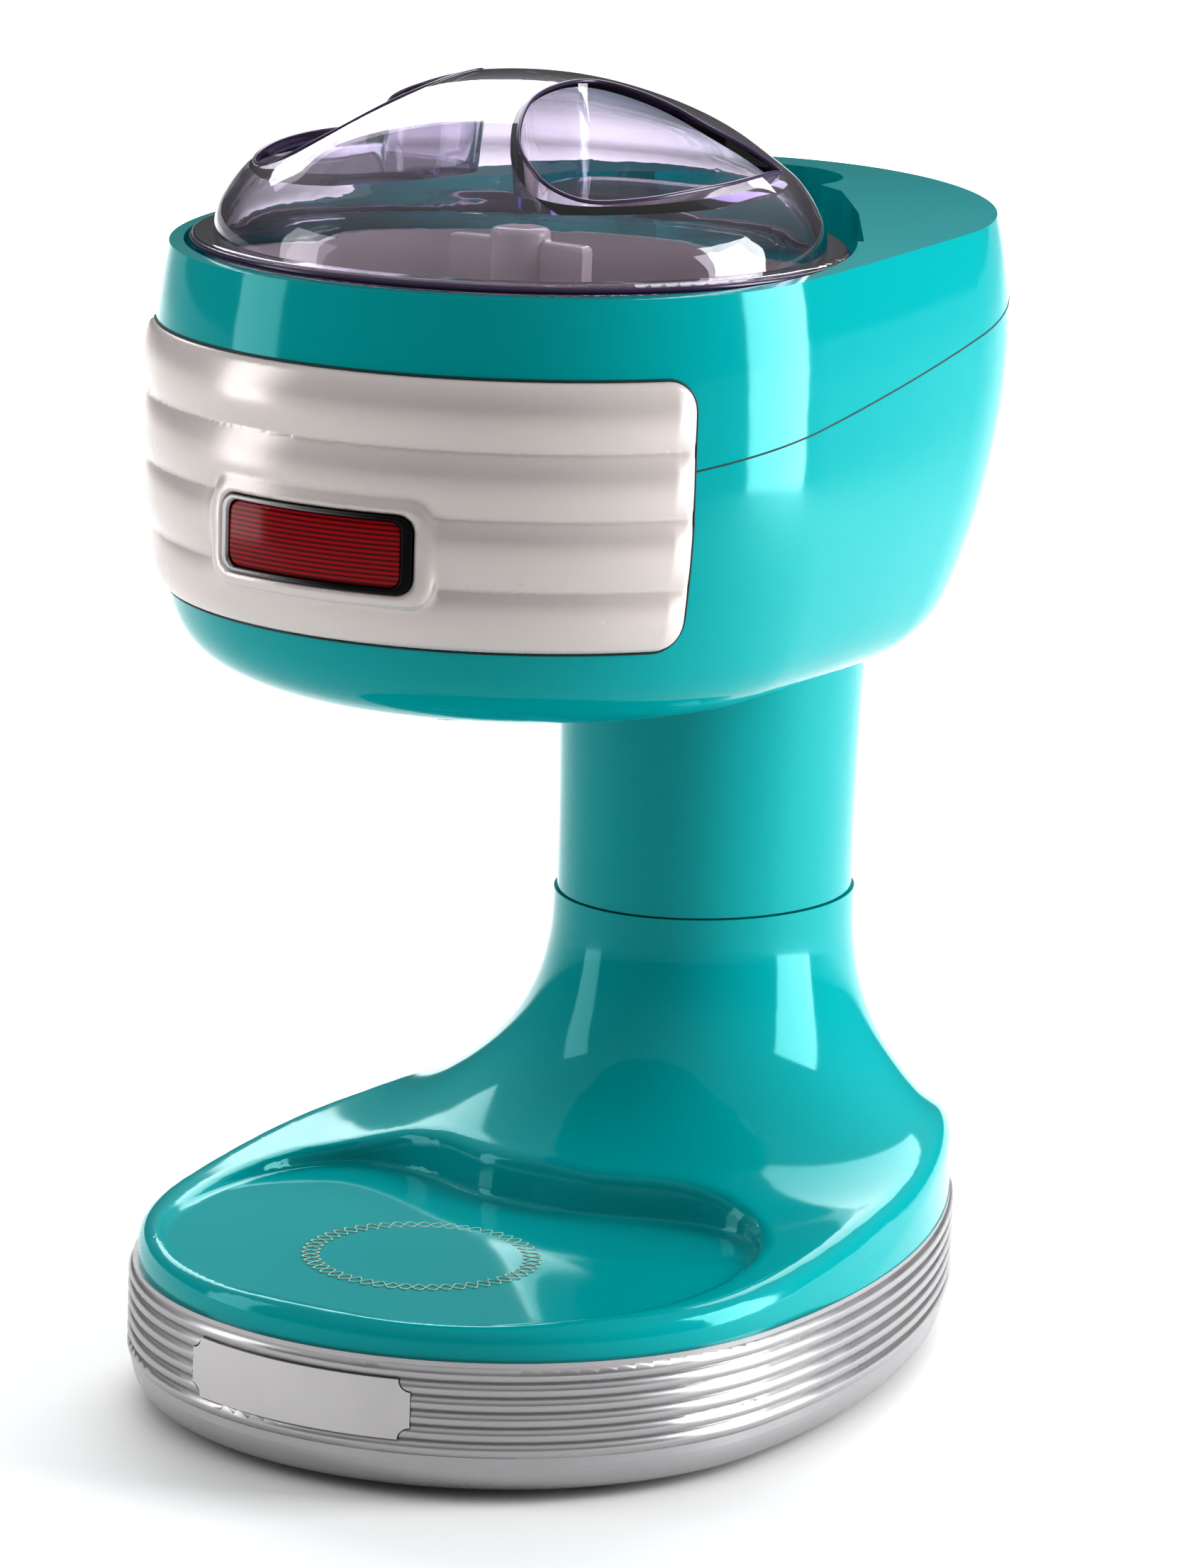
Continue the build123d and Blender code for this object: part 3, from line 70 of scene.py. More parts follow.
# ---------------------------------------------------------------- shader maths
class Wire:
    """A socket that takes part in Python sums; each sum adds its Math node."""

    def __init__(self, finish, socket):
        self.finish = finish
        self.socket = socket

    def _math(self, operation, *values):
        return self.finish.node("ShaderNodeMath", {"operation": operation}, dict(enumerate(values)))

    def __sub__(self, other):
        return self._math("SUBTRACT", self, other)

    def __mul__(self, other):
        return self._math("MULTIPLY", self, other)

    def __truediv__(self, other):
        return self._math("DIVIDE", self, other)

    def wave(self):
        return self._math("SINE", self)


class Finish:
    """One material, built node by node."""

    def __init__(self, name, colour, roughness, **fixed):
        self.material = bpy.data.materials.new(name)
        self.material.use_nodes = True
        self.tree = self.material.node_tree
        self.shader = self.tree.nodes["Principled BSDF"]
        self.shader.inputs["Base Color"].default_value = (*colour, 1)
        self.shader.inputs["Roughness"].default_value = roughness
        for key, value in fixed.items():
            self.shader.inputs[key.replace("_", " ")].default_value = value
        self.material.diffuse_color = (*colour, 1)

    def link(self, socket, value):
        if isinstance(value, Wire):
            self.tree.links.new(value.socket, socket)
        elif isinstance(value, tuple) and len(value) == 3 and len(socket.default_value) == 4:
            socket.default_value = (*value, 1)
        else:
            socket.default_value = value

    def node(self, kind, settings, sockets, output=0):
        """Adds a node; settings are set first, then the values or links of its sockets."""
        node = self.tree.nodes.new(kind)
        for key, value in settings.items():
            setattr(node, key, value)
        for key, value in sockets.items():
            self.link(node.inputs[key], value)
        return Wire(self, node.outputs[output])

    def place(self):
        return self.node("ShaderNodeTexCoord", {}, {}, "Object")

    def axes(self):
        """Object coordinates as three numbers, in metres."""
        split = self.node("ShaderNodeSeparateXYZ", {}, {"Vector": self.place()})
        outputs = split.socket.node.outputs
        return [Wire(self, outputs[name]) for name in ("X", "Y", "Z")]

    def noise(self, scale, detail=3.0):
        return self.node(
            "ShaderNodeTexNoise", {}, {"Vector": self.place(), "Scale": scale, "Detail": detail}, "Fac"
        )

    def mix(self, share, first, second):
        return self.node(
            "ShaderNodeMix", {"data_type": "RGBA"}, {0: share, 6: first, 7: second}, 2
        )

    def ramp(self, value, low, high, to_low, to_high):
        return self.node(
            "ShaderNodeMapRange",
            {"interpolation_type": "SMOOTHSTEP"},
            {"Value": value, "From Min": low, "From Max": high, "To Min": to_low, "To Max": to_high},
        )

    def paint(self, **wires):
        """Feeds the shader's varying sockets."""
        for key, value in wires.items():
            self.link(self.shader.inputs[key.replace("_", " ")], value)
        return self

    def bump(self, height, distance, strength=1.0):
        self.paint(Normal=self.node(
            "ShaderNodeBump", {}, {"Height": height, "Distance": distance, "Strength": strength}, "Normal"
        ))
        return self


CLOUD_SCALE = 9.0          # noise scales, per metre
SMEAR_SCALE = 60.0
GRAIN_SCALE = 1500.0


def moulded(name, colour, roughness, grain=0.0, **fixed):
    """Plastic with a little cloudiness in its colour and gloss; grain is its depth in millimetres."""
    finish = Finish(name, colour, roughness, **fixed)
    cloud = finish.noise(CLOUD_SCALE)
    darker = tuple(0.94 * part for part in colour)
    finish.paint(
        Base_Color=finish.mix(cloud, darker, colour),
        Roughness=finish.ramp(finish.noise(SMEAR_SCALE), 0.3, 0.7, roughness * 0.9, roughness * 1.15),
    )
    if grain > 0:
        finish.bump(finish.noise(GRAIN_SCALE, 2.0), grain * MM)
    return finish


# ---------------------------------------------------------------- finishes
TEAL = (0.0, 0.34, 0.355)
# painted shade: near-black teal that stands for the shade inside the gaps between the shells
GAP_SHADE_TEAL = (0.0, 0.030, 0.034)
IVORY = (0.78, 0.72, 0.70)
PEARL = (0.63, 0.58, 0.565)
SILVER = (0.46, 0.45, 0.46)
# painted reflection: the frame's grey and black stand for the light and dark that it reflects
PAINTED_REFLECTION_GREY = (0.30, 0.29, 0.30)
PAINTED_REFLECTION_BLACK = (0.012, 0.012, 0.014)
LENS_BRIGHT = (0.33, 0.0, 0.004)
LENS_DARK = (0.075, 0.0, 0.003)
LENS_LINE_PITCH = 1.25     # millimetres
CLEAR_TINT = (0.42, 0.34, 0.56)
CLEAR_DENSITY = 70


def badge_frame_finish():
    """Plated frame with a painted reflection that runs from grey at the left to black at the right."""
    finish = Finish("badge_frame_plated", SILVER, 0.34, Metallic=1.0)
    x, _, z = finish.axes()
    along = x / (28.0 * MM) - (z - BADGE_Z * MM) / (10.0 * MM) * 0.25
    # painted reflection: grey towards the left and top, black towards the right
    share = finish.ramp(along, -1.1, 0.6, 0.0, 1.0)
    finish.paint(Base_Color=finish.mix(share, PAINTED_REFLECTION_GREY, PAINTED_REFLECTION_BLACK))
    return finish


def badge_lens_finish():
    """Glossy red with fine dark lines across it."""
    finish = Finish("badge_red_lines", (0.36, 0.0, 0.004), 0.12, Specular_IOR_Level=0.2)
    _, _, z = finish.axes()
    line = (z * (2 * math.pi / (LENS_LINE_PITCH * MM))).wave()
    share = finish.ramp(line, -0.3, 0.6, 0.0, 1.0)
    finish.paint(Base_Color=finish.mix(share, LENS_BRIGHT, LENS_DARK))
    return finish


def clear_plastic():
    """Clear plastic with a violet tint that deepens where light runs along its walls."""
    finish = Finish(
        "smoky_clear", (0.93, 0.91, 0.95), 0.02, Transmission_Weight=1.0, IOR=1.16, Coat_Weight=1.0
    )
    tint = finish.tree.nodes.new("ShaderNodeVolumeAbsorption")
    tint.inputs["Color"].default_value = (*CLEAR_TINT, 1)
    tint.inputs["Density"].default_value = CLEAR_DENSITY
    finish.tree.links.new(tint.outputs["Volume"], finish.tree.nodes["Material Output"].inputs["Volume"])
    return finish


teal = moulded("teal_gloss", TEAL, 0.08, Specular_IOR_Level=0.36, Specular_Tint=(0.45, 1.0, 1.0, 1.0))
# painted shade for the dark lines in the gaps round the head's shells and round the panel
gap_shade_teal = moulded("teal_in_the_gaps", GAP_SHADE_TEAL, 0.5)
ivory = moulded("ivory_gloss", IVORY, 0.16, Specular_IOR_Level=0.4)
pearl = moulded("panel_pearl", PEARL, 0.24, Metallic=0.22)
print_cream = moulded("cream_print", (0.50, 0.56, 0.46), 0.35)
silver = moulded("silver_paint", SILVER, 0.30, Metallic=0.85)
plate = moulded("silver_plate", (0.60, 0.58, 0.58), 0.38, Metallic=0.6)
steel = moulded("bare_steel", (0.55, 0.55, 0.56), 0.28, Metallic=1.0)
nylon = moulded("white_nylon", (0.75, 0.74, 0.70), 0.45)
black = moulded("black_plastic", (0.02, 0.02, 0.022), 0.4, grain=0.02)
brass = moulded("turned_brass", (0.62, 0.42, 0.16), 0.3, Metallic=1.0)
rubber = moulded("black_rubber", (0.02, 0.02, 0.02), 0.7, grain=0.03)
badge_frame = badge_frame_finish()
badge_lens = badge_lens_finish()
clear = clear_plastic()
# painted shade: dark violet that stands for the deeper tint the clear lid shows along its edges
lid_rim = moulded("lid_rim_violet", (0.050, 0.026, 0.085), 0.2)

DRESSED = (
    (teal, ("base_cover", "column_upper", "head_lower", "head_upper", "outlet_chute")),
    (silver, ("base_band", "base_bottom")),
    (plate, ("name_plate",)),
    (ivory, ("front_panel", "paddle", "safety_plunger", "ice_bowl")),
    (badge_lens, ("badge_lens",)),
    (badge_frame, ("badge_frame",)),
    (clear, ("lid",)),
    (steel, (
        "base_screws", "column_screws", "head_screws", "plate_screws", "cover_screws", "motor_screws",
        "blade_screws", "blade_disc", "blade", "second_gear_pin", "first_gear_pin", "drive_shaft",
        "gear_plate", "motor_case", "motor_armature", "motor_shaft",
    )),
    (nylon, ("drive_gear", "second_gear", "first_gear")),
    (black, (
        "switch_body", "power_rocker", "cable_gland", "safety_switch", "gear_cover", "cooling_fan",
    )),
    (brass, ("motor_pinion", "drive_bush")),
    (rubber, ("rubber_feet", "shaft_seal")),
)


# ---------------------------------------------------------------- smooth forms
def oval_distance(x, y, front_y, front_radius, side_radius, rear_y, rear_radius):
    """Signed distance to an egg of four tangent arcs."""
    to_front = side_radius - front_radius
    to_rear = side_radius - rear_radius
    span = rear_y - front_y
    along = (to_front**2 - to_rear**2 + span**2) / (2 * span)
    across = math.sqrt(to_front**2 - along**2)
    side_x, side_y = -across, front_y + along
    x = np.abs(x)
    dx, dy = x - side_x, y - side_y
    in_front = dx * (front_y - side_y) - dy * -side_x > 0
    behind = dx * (rear_y - side_y) - dy * -side_x < 0
    side = np.hypot(dx, dy) - side_radius
    front = np.hypot(x, y - front_y) - front_radius
    rear = np.hypot(x, y - rear_y) - rear_radius
    return np.where(in_front, front, np.where(behind, rear, side))


def smooth_min(a, b, width):
    share = np.clip(0.5 + 0.5 * (b - a) / width, 0, 1)
    return b + (a - b) * share - width * share * (1 - share)


def smooth_max(a, b, width):
    return -smooth_min(-a, -b, width)


def loop_distance(x, y, loop):
    """Signed distance in plan to a closed loop of points, negative inside."""
    shape = np.broadcast(x, y).shape
    points = np.stack([np.broadcast_to(x, shape).ravel(), np.broadcast_to(y, shape).ravel()], 1)
    step = np.roll(loop, -1, 0) - loop
    best = np.full(len(points), 1e9)
    winding = np.zeros(len(points), bool)
    for (sx, sy), (ex, ey) in zip(loop, step):
        px, py = points[:, 0] - sx, points[:, 1] - sy
        share = np.clip((px * ex + py * ey) / (ex * ex + ey * ey), 0, 1)
        best = np.minimum(best, (px - share * ex) ** 2 + (py - share * ey) ** 2)
        crosses = (py >= 0) != (py - ey >= 0)
        if ey != 0:
            winding ^= crosses & (px < py * ex / ey)
    distance = np.sqrt(best)
    return np.where(winding, -distance, distance).reshape(shape)


def rounded_loop(points, count):
    """Points along a smooth closed curve through the given ones."""
    points = np.array(points, float)
    total = len(points)
    out = []
    for place in np.arange(count) * total / count:
        index = int(place)
        t = place - index
        p0, p1, p2, p3 = (points[(index + k) % total] for k in (-1, 0, 1, 2))
        out.append(0.5 * (
            2 * p1
            + (p2 - p0) * t
            + (2 * p0 - 5 * p1 + 4 * p2 - p3) * t * t
            + (3 * p1 - p0 - 3 * p2 + p3) * t**3
        ))
    return np.array(out)


def curve_through(knots, values):
    """Smooth monotone curve through points (Fritsch-Carlson)."""
    knots, values = np.array(knots, float), np.array(values, float)
    gap = np.diff(knots)
    slope = np.diff(values) / gap
    tangent = np.concatenate([[slope[0]], (slope[1:] + slope[:-1]) / 2, [slope[-1]]])
    for i in range(len(slope)):
        if slope[i] == 0:
            tangent[i] = tangent[i + 1] = 0
        else:
            a, b = tangent[i] / slope[i], tangent[i + 1] / slope[i]
            if a < 0:
                tangent[i] = 0
            if b < 0:
                tangent[i + 1] = 0
            big = math.hypot(a, b)
            if big > 3:
                tangent[i], tangent[i + 1] = 3 * a / big * slope[i], 3 * b / big * slope[i]

    def at(place):
        i = np.clip(np.searchsorted(knots, place) - 1, 0, len(gap) - 1)
        t = (place - knots[i]) / gap[i]
        t_in = np.clip(t, 0, 1)
        inner = (
            (1 + 2 * t_in) * (1 - t_in) ** 2 * values[i]
            + t_in * (1 - t_in) ** 2 * gap[i] * tangent[i]
            + t_in**2 * (3 - 2 * t_in) * values[i + 1]
            + t_in**2 * (t_in - 1) * gap[i] * tangent[i + 1]
        )
        above = np.where(t > 1, (t - 1) * gap[i] * tangent[i + 1], 0)
        outer = np.where(t < 0, t * gap[i] * tangent[i], above)
        return inner + outer

    return at


def mesh_of(field, low, high, step):
    """Closed quad mesh of the place where a field changes sign, drawn exactly onto it."""
    axes = [np.arange(a, b + step, step) for a, b in zip(low, high)]
    values = field(axes[0][:, None, None], axes[1][None, :, None], axes[2][None, None, :])
    values = np.broadcast_to(values, [len(a) for a in axes])
    cells = tuple(n - 1 for n in values.shape)
    total = np.zeros((*cells, 3))
    hits = np.zeros(cells)
    crossings = []
    for axis in range(3):
        first = np.take(values, range(values.shape[axis] - 1), axis)
        second = np.take(values, range(1, values.shape[axis]), axis)
        where = np.argwhere((first < 0) != (second < 0))
        a, b = first[tuple(where.T)], second[tuple(where.T)]
        spot = where.astype(float)
        spot[:, axis] += a / (a - b)
        others = [k for k in range(3) if k != axis]
        for shift_a in (0, 1):
            for shift_b in (0, 1):
                cell = where.copy()
                cell[:, others[0]] -= shift_a
                cell[:, others[1]] -= shift_b
                fits = np.all((cell >= 0) & (cell < cells), 1)
                index = tuple(cell[fits].T)
                np.add.at(hits, index, 1)
                np.add.at(total, index, spot[fits])
        crossings.append((axis, others, where, a < 0))
    number = np.full(cells, -1)
    active = hits > 0
    number[active] = np.arange(active.sum())
    points = total[active] / hits[active][:, None] * step + np.array(low)
    faces = []
    for axis, others, where, leaving in crossings:
        inner = np.all([(where[:, k] > 0) & (where[:, k] < cells[k]) for k in others], 0)
        where, leaving = where[inner], leaving[inner]
        ring = []
        for shift_a, shift_b in ((0, 0), (1, 0), (1, 1), (0, 1)):
            cell = where.copy()
            cell[:, others[0]] -= shift_a
            cell[:, others[1]] -= shift_b
            ring.append(number[tuple(cell.T)])
        ring = np.stack(ring, 1)
        turned = leaving ^ (axis == 1)
        ring[~turned] = ring[~turned][:, ::-1]
        faces.append(ring)
    return drawn_onto(points, field, step), np.concatenate(faces)


def drawn_onto(points, field, step, rounds=5):
    """Moves points along the field's slope until they lie on its zero surface."""
    small = 0.02
    for _ in range(rounds):
        x, y, z = points.T
        value = field(x, y, z)
        slope = np.stack([
            field(x + small, y, z) - field(x - small, y, z),
            field(x, y + small, z) - field(x, y - small, z),
            field(x, y, z + small) - field(x, y, z - small),
        ], 1) / (2 * small)
        move = -value[:, None] * slope / np.maximum((slope**2).sum(1), 0.05)[:, None]
        length = np.linalg.norm(move, axis=1)[:, None]
        points = points + move * np.minimum(1, 0.4 * step / np.maximum(length, 1e-9))
    return points


# base cover: heights in millimetres, in the frame of the part
SEAM_Z = 120.0
COVER_BOTTOM_Z = 36.2     # hidden inside the band
PARTING_Z = 278.8         # the head's parting plane at the origin
PARTING_TILT = 9.0        # degrees, rising to the rear
BASE_OVAL = (-44.75, 93.0, 260.0, 68.75, 69.0)     # front y, radii of front and side, rear y, radius
COVER_EDGE = 7.0          # rounding of the cover's rim
COVER_FOOT_Z = 34.5       # where its form ends, below the cut
RIM_FRONT_Z = 47.4
RIM_RISE = 8.2            # how much higher the rim is at the column
RIM_RISE_FROM = -80.0     # y at which it starts to rise
RIM_RISE_LENGTH = 125.0
FOOT_BLEND = 9.0
OUTLINE_BLEND = 4.0
TRAY_FLOOR_Z = 46.0
TRAY_DRAFT = 0.105
TRAY_FLOOR_BLEND = 1.6
TRAY_LIP_BLEND = 3.2
TRAY_RING_CENTRE = (0.0, -76.8)
TRAY_LOOP_POINTS = 280
COVER_SPACE = ((-98, -142, 30), (98, 142, 126))     # low and high corner of the space that holds it
SEAM_DROP = 0.4           # of the cover's top, below the seam
FLARE = (
    # height, half width, front y, rear y
    (40.0, 104.0, -62.0, 141.0),
    (46.0, 93.0, -44.0, 135.0),
    (52.5, 83.0, -31.0, 130.0),
    (56.5, 76.5, -23.5, 126.5),
    (61.0, 70.0, -14.0, 123.0),
    (68.5, 60.4, -2.5, 118.9),
    (79.0, 50.6, 7.0, 115.0),
    (92.0, 43.4, 13.4, 112.6),
    (106.0, 40.1, 17.1, 111.5),
    (SEAM_Z, 39.4, 17.95, 111.55),
    (128.0, 39.2, 18.1, 111.4),
)
TRAY = (
    (0, -132), (26, -129.3), (46.6, -119.6), (62.5, -104), (72.5, -85), (77, -62), (76.6, -42),
    (71.5, -25.5), (62, -14), (50, -10), (37, -12.2), (24, -17.2), (12, -20.2),
)


def base_field(tray_loop):
    """Base cover: a slab with a rising rim, the foot of the column flowing into it, less the tray."""
    heights = [row[0] for row in FLARE]
    half_width, front_y, rear_y = (curve_through(heights, [row[k] for row in FLARE]) for k in (1, 2, 3))

    def field(x, y, z):
        outline = oval_distance(x, y, *BASE_OVAL)
        rise = np.clip((y - RIM_RISE_FROM) / RIM_RISE_LENGTH, 0, 1)
        rim_z = RIM_FRONT_Z + RIM_RISE * rise * rise * (3 - 2 * rise)
        side, top = outline + COVER_EDGE, z - rim_z + COVER_EDGE
        corner = np.hypot(np.maximum(side, 0), np.maximum(top, 0))
        slab = np.minimum(np.maximum(side, top), 0) + corner - COVER_EDGE
        a = half_width(z)
        middle = (front_y(z) + rear_y(z)) / 2
        b = (rear_y(z) - front_y(z)) / 2
        around = np.sqrt((x / a) ** 2 + ((y - middle) / b) ** 2)
        foot = (around - 1) * np.minimum(a, b) * 0.75
        body = smooth_min(slab, foot, FOOT_BLEND)
        body = smooth_max(body, outline, OUTLINE_BLEND)
        hollow = loop_distance(x, y, tray_loop) - (z - TRAY_FLOOR_Z) * TRAY_DRAFT
        hollow = smooth_max(hollow, TRAY_FLOOR_Z - z, TRAY_FLOOR_BLEND)
        body = smooth_max(body, -hollow, TRAY_LIP_BLEND)
        return np.maximum(np.maximum(body, COVER_FOOT_Z - z), z - SEAM_Z - 3)

    return field
# front panel: four bands one above another, and the raised pad round the badge
HEAD_RADII = (
    # height, radius of the head's front
    (209.5, 86.0), (219.0, 89.2), (233.0, 92.0), (252.0, 93.8), (275.0, 93.8), (285.0, 93.4), (292.0, 92.7),
)
BAND_EDGES = (218.6, 235.0, 252.8, 269.6, 287.3)
PANEL_HALF_ANGLE = math.radians(59.8)
PANEL_ROUND = 94.5         # radius at which widths round the head are measured
PANEL_THICKNESS = 0.9      # over the head, between the bands
PANEL_SINK = 1.4           # into the head's wall
PANEL_CORNER = 8.0
PAD_HALF = (33.2, 13.6, 6.5)       # half width, half height, corner
POCKET_HALF = (28.1, 10.0, 4.4)
PAD_BLEND = 3.0
PAD_FOOT_BLEND = 1.6
POCKET_BLEND = 1.0
PANEL_EDGE_BLEND = 1.4


def rounded_box(across, up, half_width, half_height, corner):
    """Signed distance to a rounded rectangle."""
    side = np.abs(across) - half_width + corner
    top = np.abs(up) - half_height + corner
    outside = np.hypot(np.maximum(side, 0), np.maximum(top, 0))
    return outside + np.minimum(np.maximum(side, top), 0) - corner


def panel_field(settings):
    """Front panel: bands that swell between their edges, and a pad with a pocket for the badge."""
    radius_at = curve_through(*zip(*HEAD_RADII))
    low, high = BAND_EDGES[0], BAND_EDGES[-1]

    def field(x, y, z):
        out = np.hypot(x, y - HEAD_Y)
        across = np.arctan2(x, HEAD_Y - y) * PANEL_ROUND
        wall = radius_at(z)
        swell = 0.0
        for lower, upper in zip(BAND_EDGES, BAND_EDGES[1:]):
            share = (z - (lower + upper) / 2) / ((upper - lower) / 2)
            swell = np.maximum(swell, settings.band_depth * (1 - share * share))
        side = PANEL_HALF_ANGLE * PANEL_ROUND - np.abs(across)
        swell = swell * np.clip(side / settings.band_fade, 0, 1) ** 0.7
        bands = out - wall - PANEL_THICKNESS - swell
        pad = rounded_box(across, z - BADGE_Z, *PAD_HALF)
        pad = smooth_max(out - settings.pad_radius, pad, PAD_BLEND)
        face = smooth_min(bands, pad, PAD_FOOT_BLEND)
        pocket = rounded_box(across, z - BADGE_Z, *POCKET_HALF)
        face = smooth_max(face, -pocket, POCKET_BLEND)
        half_width, half_height = PANEL_HALF_ANGLE * PANEL_ROUND, (high - low) / 2
        edge = rounded_box(across, z - (low + high) / 2, half_width, half_height, PANEL_CORNER)
        face = smooth_max(face, edge, PANEL_EDGE_BLEND)
        return np.maximum(face, wall - PANEL_SINK - out)

    return field


# badge: a plated frame in the pad's pocket and a domed red lens inside it
BADGE_HALF = (27.9, 9.8, 4.2)      # half width, half height, corner
LENS_HALF = (25.1, 8.5, 3.0)
BADGE_BACK_RADIUS = 93.4           # distances from the head's axis
FRAME_FRONT_RADIUS = 97.5
LENS_FRONT_RADIUS = 97.1
LENS_DOME = 0.5                    # fall of the lens from its middle to its long edges
LENS_CLEARANCE = 0.15
FRAME_BLEND = 0.7
LENS_BLEND = 0.6
BADGE_REACH = (30.0, 11.5)         # half width and half height of the space that holds the badge
BADGE_SPACE = (98.6, 87.0)         # its front and back, from the head's axis


def frame_field(x, y, z):
    """Frame of the badge: a rounded rectangle bent round the head, less the lens."""
    out = np.hypot(x, y - HEAD_Y)
    across = np.arctan2(x, HEAD_Y - y) * PANEL_ROUND
    ring = rounded_box(across, z - BADGE_Z, *BADGE_HALF)
    ring = smooth_max(ring, out - FRAME_FRONT_RADIUS, FRAME_BLEND)
    ring = smooth_max(ring, -rounded_box(across, z - BADGE_Z, *LENS_HALF), FRAME_BLEND)
    return np.maximum(ring, BADGE_BACK_RADIUS - out)


def lens_field(x, y, z):
    """Lens of the badge, slightly domed, with a small clearance in its frame."""
    out = np.hypot(x, y - HEAD_Y)
    across = np.arctan2(x, HEAD_Y - y) * PANEL_ROUND
    half_width, half_height, corner = LENS_HALF
    up = np.clip(np.abs(z - BADGE_Z) / half_height, 0, 1)
    side = rounded_box(
        across, z - BADGE_Z, half_width - LENS_CLEARANCE, half_height - LENS_CLEARANCE, corner
    )
    lens = smooth_max(side, out - LENS_FRONT_RADIUS + LENS_DOME * up * up, LENS_BLEND)
    return np.maximum(lens, BADGE_BACK_RADIUS - out)


# clear lid: its dome, and the outline of one finger scoop about the head's axis
DOME = (
    (0, 352.5), (16, 351.4), (38, 346), (57, 337), (66, 330.5), (71.5, 326), (76.5, 319), (79, 310),
)
SCOOP = (
    (25.9, -41.8), (35, -49.6), (43.9, -50.3), (51.4, -45.7), (59.2, -33), (64, -15.4), (65, 0.9),
    (62.5, 19.5), (60, 24.5), (48, 11.7), (38, 10), (28, 9), (19.7, 5), (18, -9), (19.4, -24.7),
)
SCOOP_MIDDLE = (42.0, -14.0)
SCOOP_FLOOR_Z = 327.0
SCOOP_SLOPE = 0.125
FLANGE_RIM = (84.1, 308.4, 0.95)   # radius and height of the flange's edge line, and its own radius


def scoop_rim(side):
    """Loop where a scoop's wall leaves the dome; the wall widens upwards."""
    height_at = curve_through(*zip(*DOME))
    rim = []
    for x, y in rounded_loop(SCOOP, 150):
        out = Vector((x - SCOOP_MIDDLE[0], y - SCOOP_MIDDLE[1]))
        height = 340.0
        for _ in range(6):
            spot = Vector(SCOOP_MIDDLE) + out * (1 + SCOOP_SLOPE * (height - SCOOP_FLOOR_Z) / out.length)
            height = float(height_at(spot.length))
        rim.append((side * spot.x, HEAD_Y + spot.y, height - 0.15))
    return rim


# ---------------------------------------------------------------- Blender helpers
def only(thing):
    """Leaves one object selected and active."""
    bpy.ops.object.select_all(action="DESELECT")
    thing.select_set(True)
    bpy.context.view_layer.objects.active = thing


def add_mesh(name, points, faces, finish):
    """New smooth-shaded object from points in millimetres."""
    mesh = bpy.data.meshes.new(name)
    mesh.from_pydata((np.asarray(points) * MM).tolist(), [], np.asarray(faces).tolist())
    mesh.materials.append(finish.material)
    thing = bpy.data.objects.new(name, mesh)
    bpy.context.scene.collection.objects.link(thing)
    only(thing)
    bpy.ops.object.shade_smooth()
    return thing


def copy_of(node, name, finish):
    """New object with a copy of a CAD node's mesh."""
    mesh = NODES[node].data.copy()
    mesh.name = name
    mesh.materials.clear()
    mesh.materials.append(finish.material)
    thing = bpy.data.objects.new(name, mesh)
    bpy.context.scene.collection.objects.link(thing)
    only(thing)
    return thing


def cut(thing, place, outward, fill=True):
    """Takes away what lies beyond a plane; place in millimetres."""
    only(thing)
    bpy.ops.object.mode_set(mode="EDIT")
    bpy.ops.mesh.select_all(action="SELECT")
    bpy.ops.mesh.bisect(
        plane_co=[part * MM for part in place], plane_no=outward, use_fill=fill, clear_outer=True
    )
    bpy.ops.object.mode_set(mode="OBJECT")


def joined(things, name):
    """Joins objects into one."""
    only(things[0])
    for thing in things:
        thing.select_set(True)
    bpy.ops.object.join()
    made = bpy.context.view_layer.objects.active
    made.name = name
    return made


def settle(thing, body, slot, *replaced):
    """Sets which body a finished piece rides on and hides the CAD nodes it stands for; its slot is not used.
    """
    if len(thing.data.polygons) == 0:
        raise RuntimeError(f"{thing.name} came out empty")
    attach(thing, body)
    if replaced:
        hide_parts(*replaced)


def ribbon(centre, radius_at_turn, count, width, low, high):
    """Closed flat band round a middle; its radius is a function of the turn."""
    points = []
    for step in range(count):
        turn = 2 * math.pi * step / count
        for out, height in ((-1, low), (1, low), (1, high), (-1, high)):
            reach = radius_at_turn(turn) + out * width / 2
            points.append((centre[0] + reach * math.sin(turn), centre[1] + reach * math.cos(turn), height))
    faces = []
    for step in range(count):
        here, after = 4 * step, 4 * ((step + 1) % count)
        for side in range(4):
            other = (side + 1) % 4
            faces.append((here + side, here + other, after + other, after + side))
    return points, faces


def closed_tube(points, radius, sides=8, flat=False):
    """Round tube along a closed loop of points round the head's axis, or lying flat anywhere."""
    points = np.array(points, float)
    along = np.roll(points, -1, 0) - np.roll(points, 1, 0)
    along /= np.linalg.norm(along, axis=1)[:, None]
    outward = points - np.array([0, HEAD_Y, 0])
    outward[:, 2] = 0
    if flat:
        outward = np.tile([0.0, 0.0, 1.0], (len(points), 1))
    outward -= (outward * along).sum(1)[:, None] * along
    outward /= np.linalg.norm(outward, axis=1)[:, None]
    across = np.cross(along, outward)
    rings = []
    for side in range(sides):
        turn = 2 * math.pi * side / sides
        rings.append(points + radius * (math.cos(turn) * outward + math.sin(turn) * across))
    verts = np.stack(rings, 1).reshape(-1, 3)
    faces = []
    for step in range(len(points)):
        here, after = sides * step, sides * ((step + 1) % len(points))
        for side in range(sides):
            other = (side + 1) % sides
            faces.append((here + side, here + other, after + other, after + side))
    return verts, faces


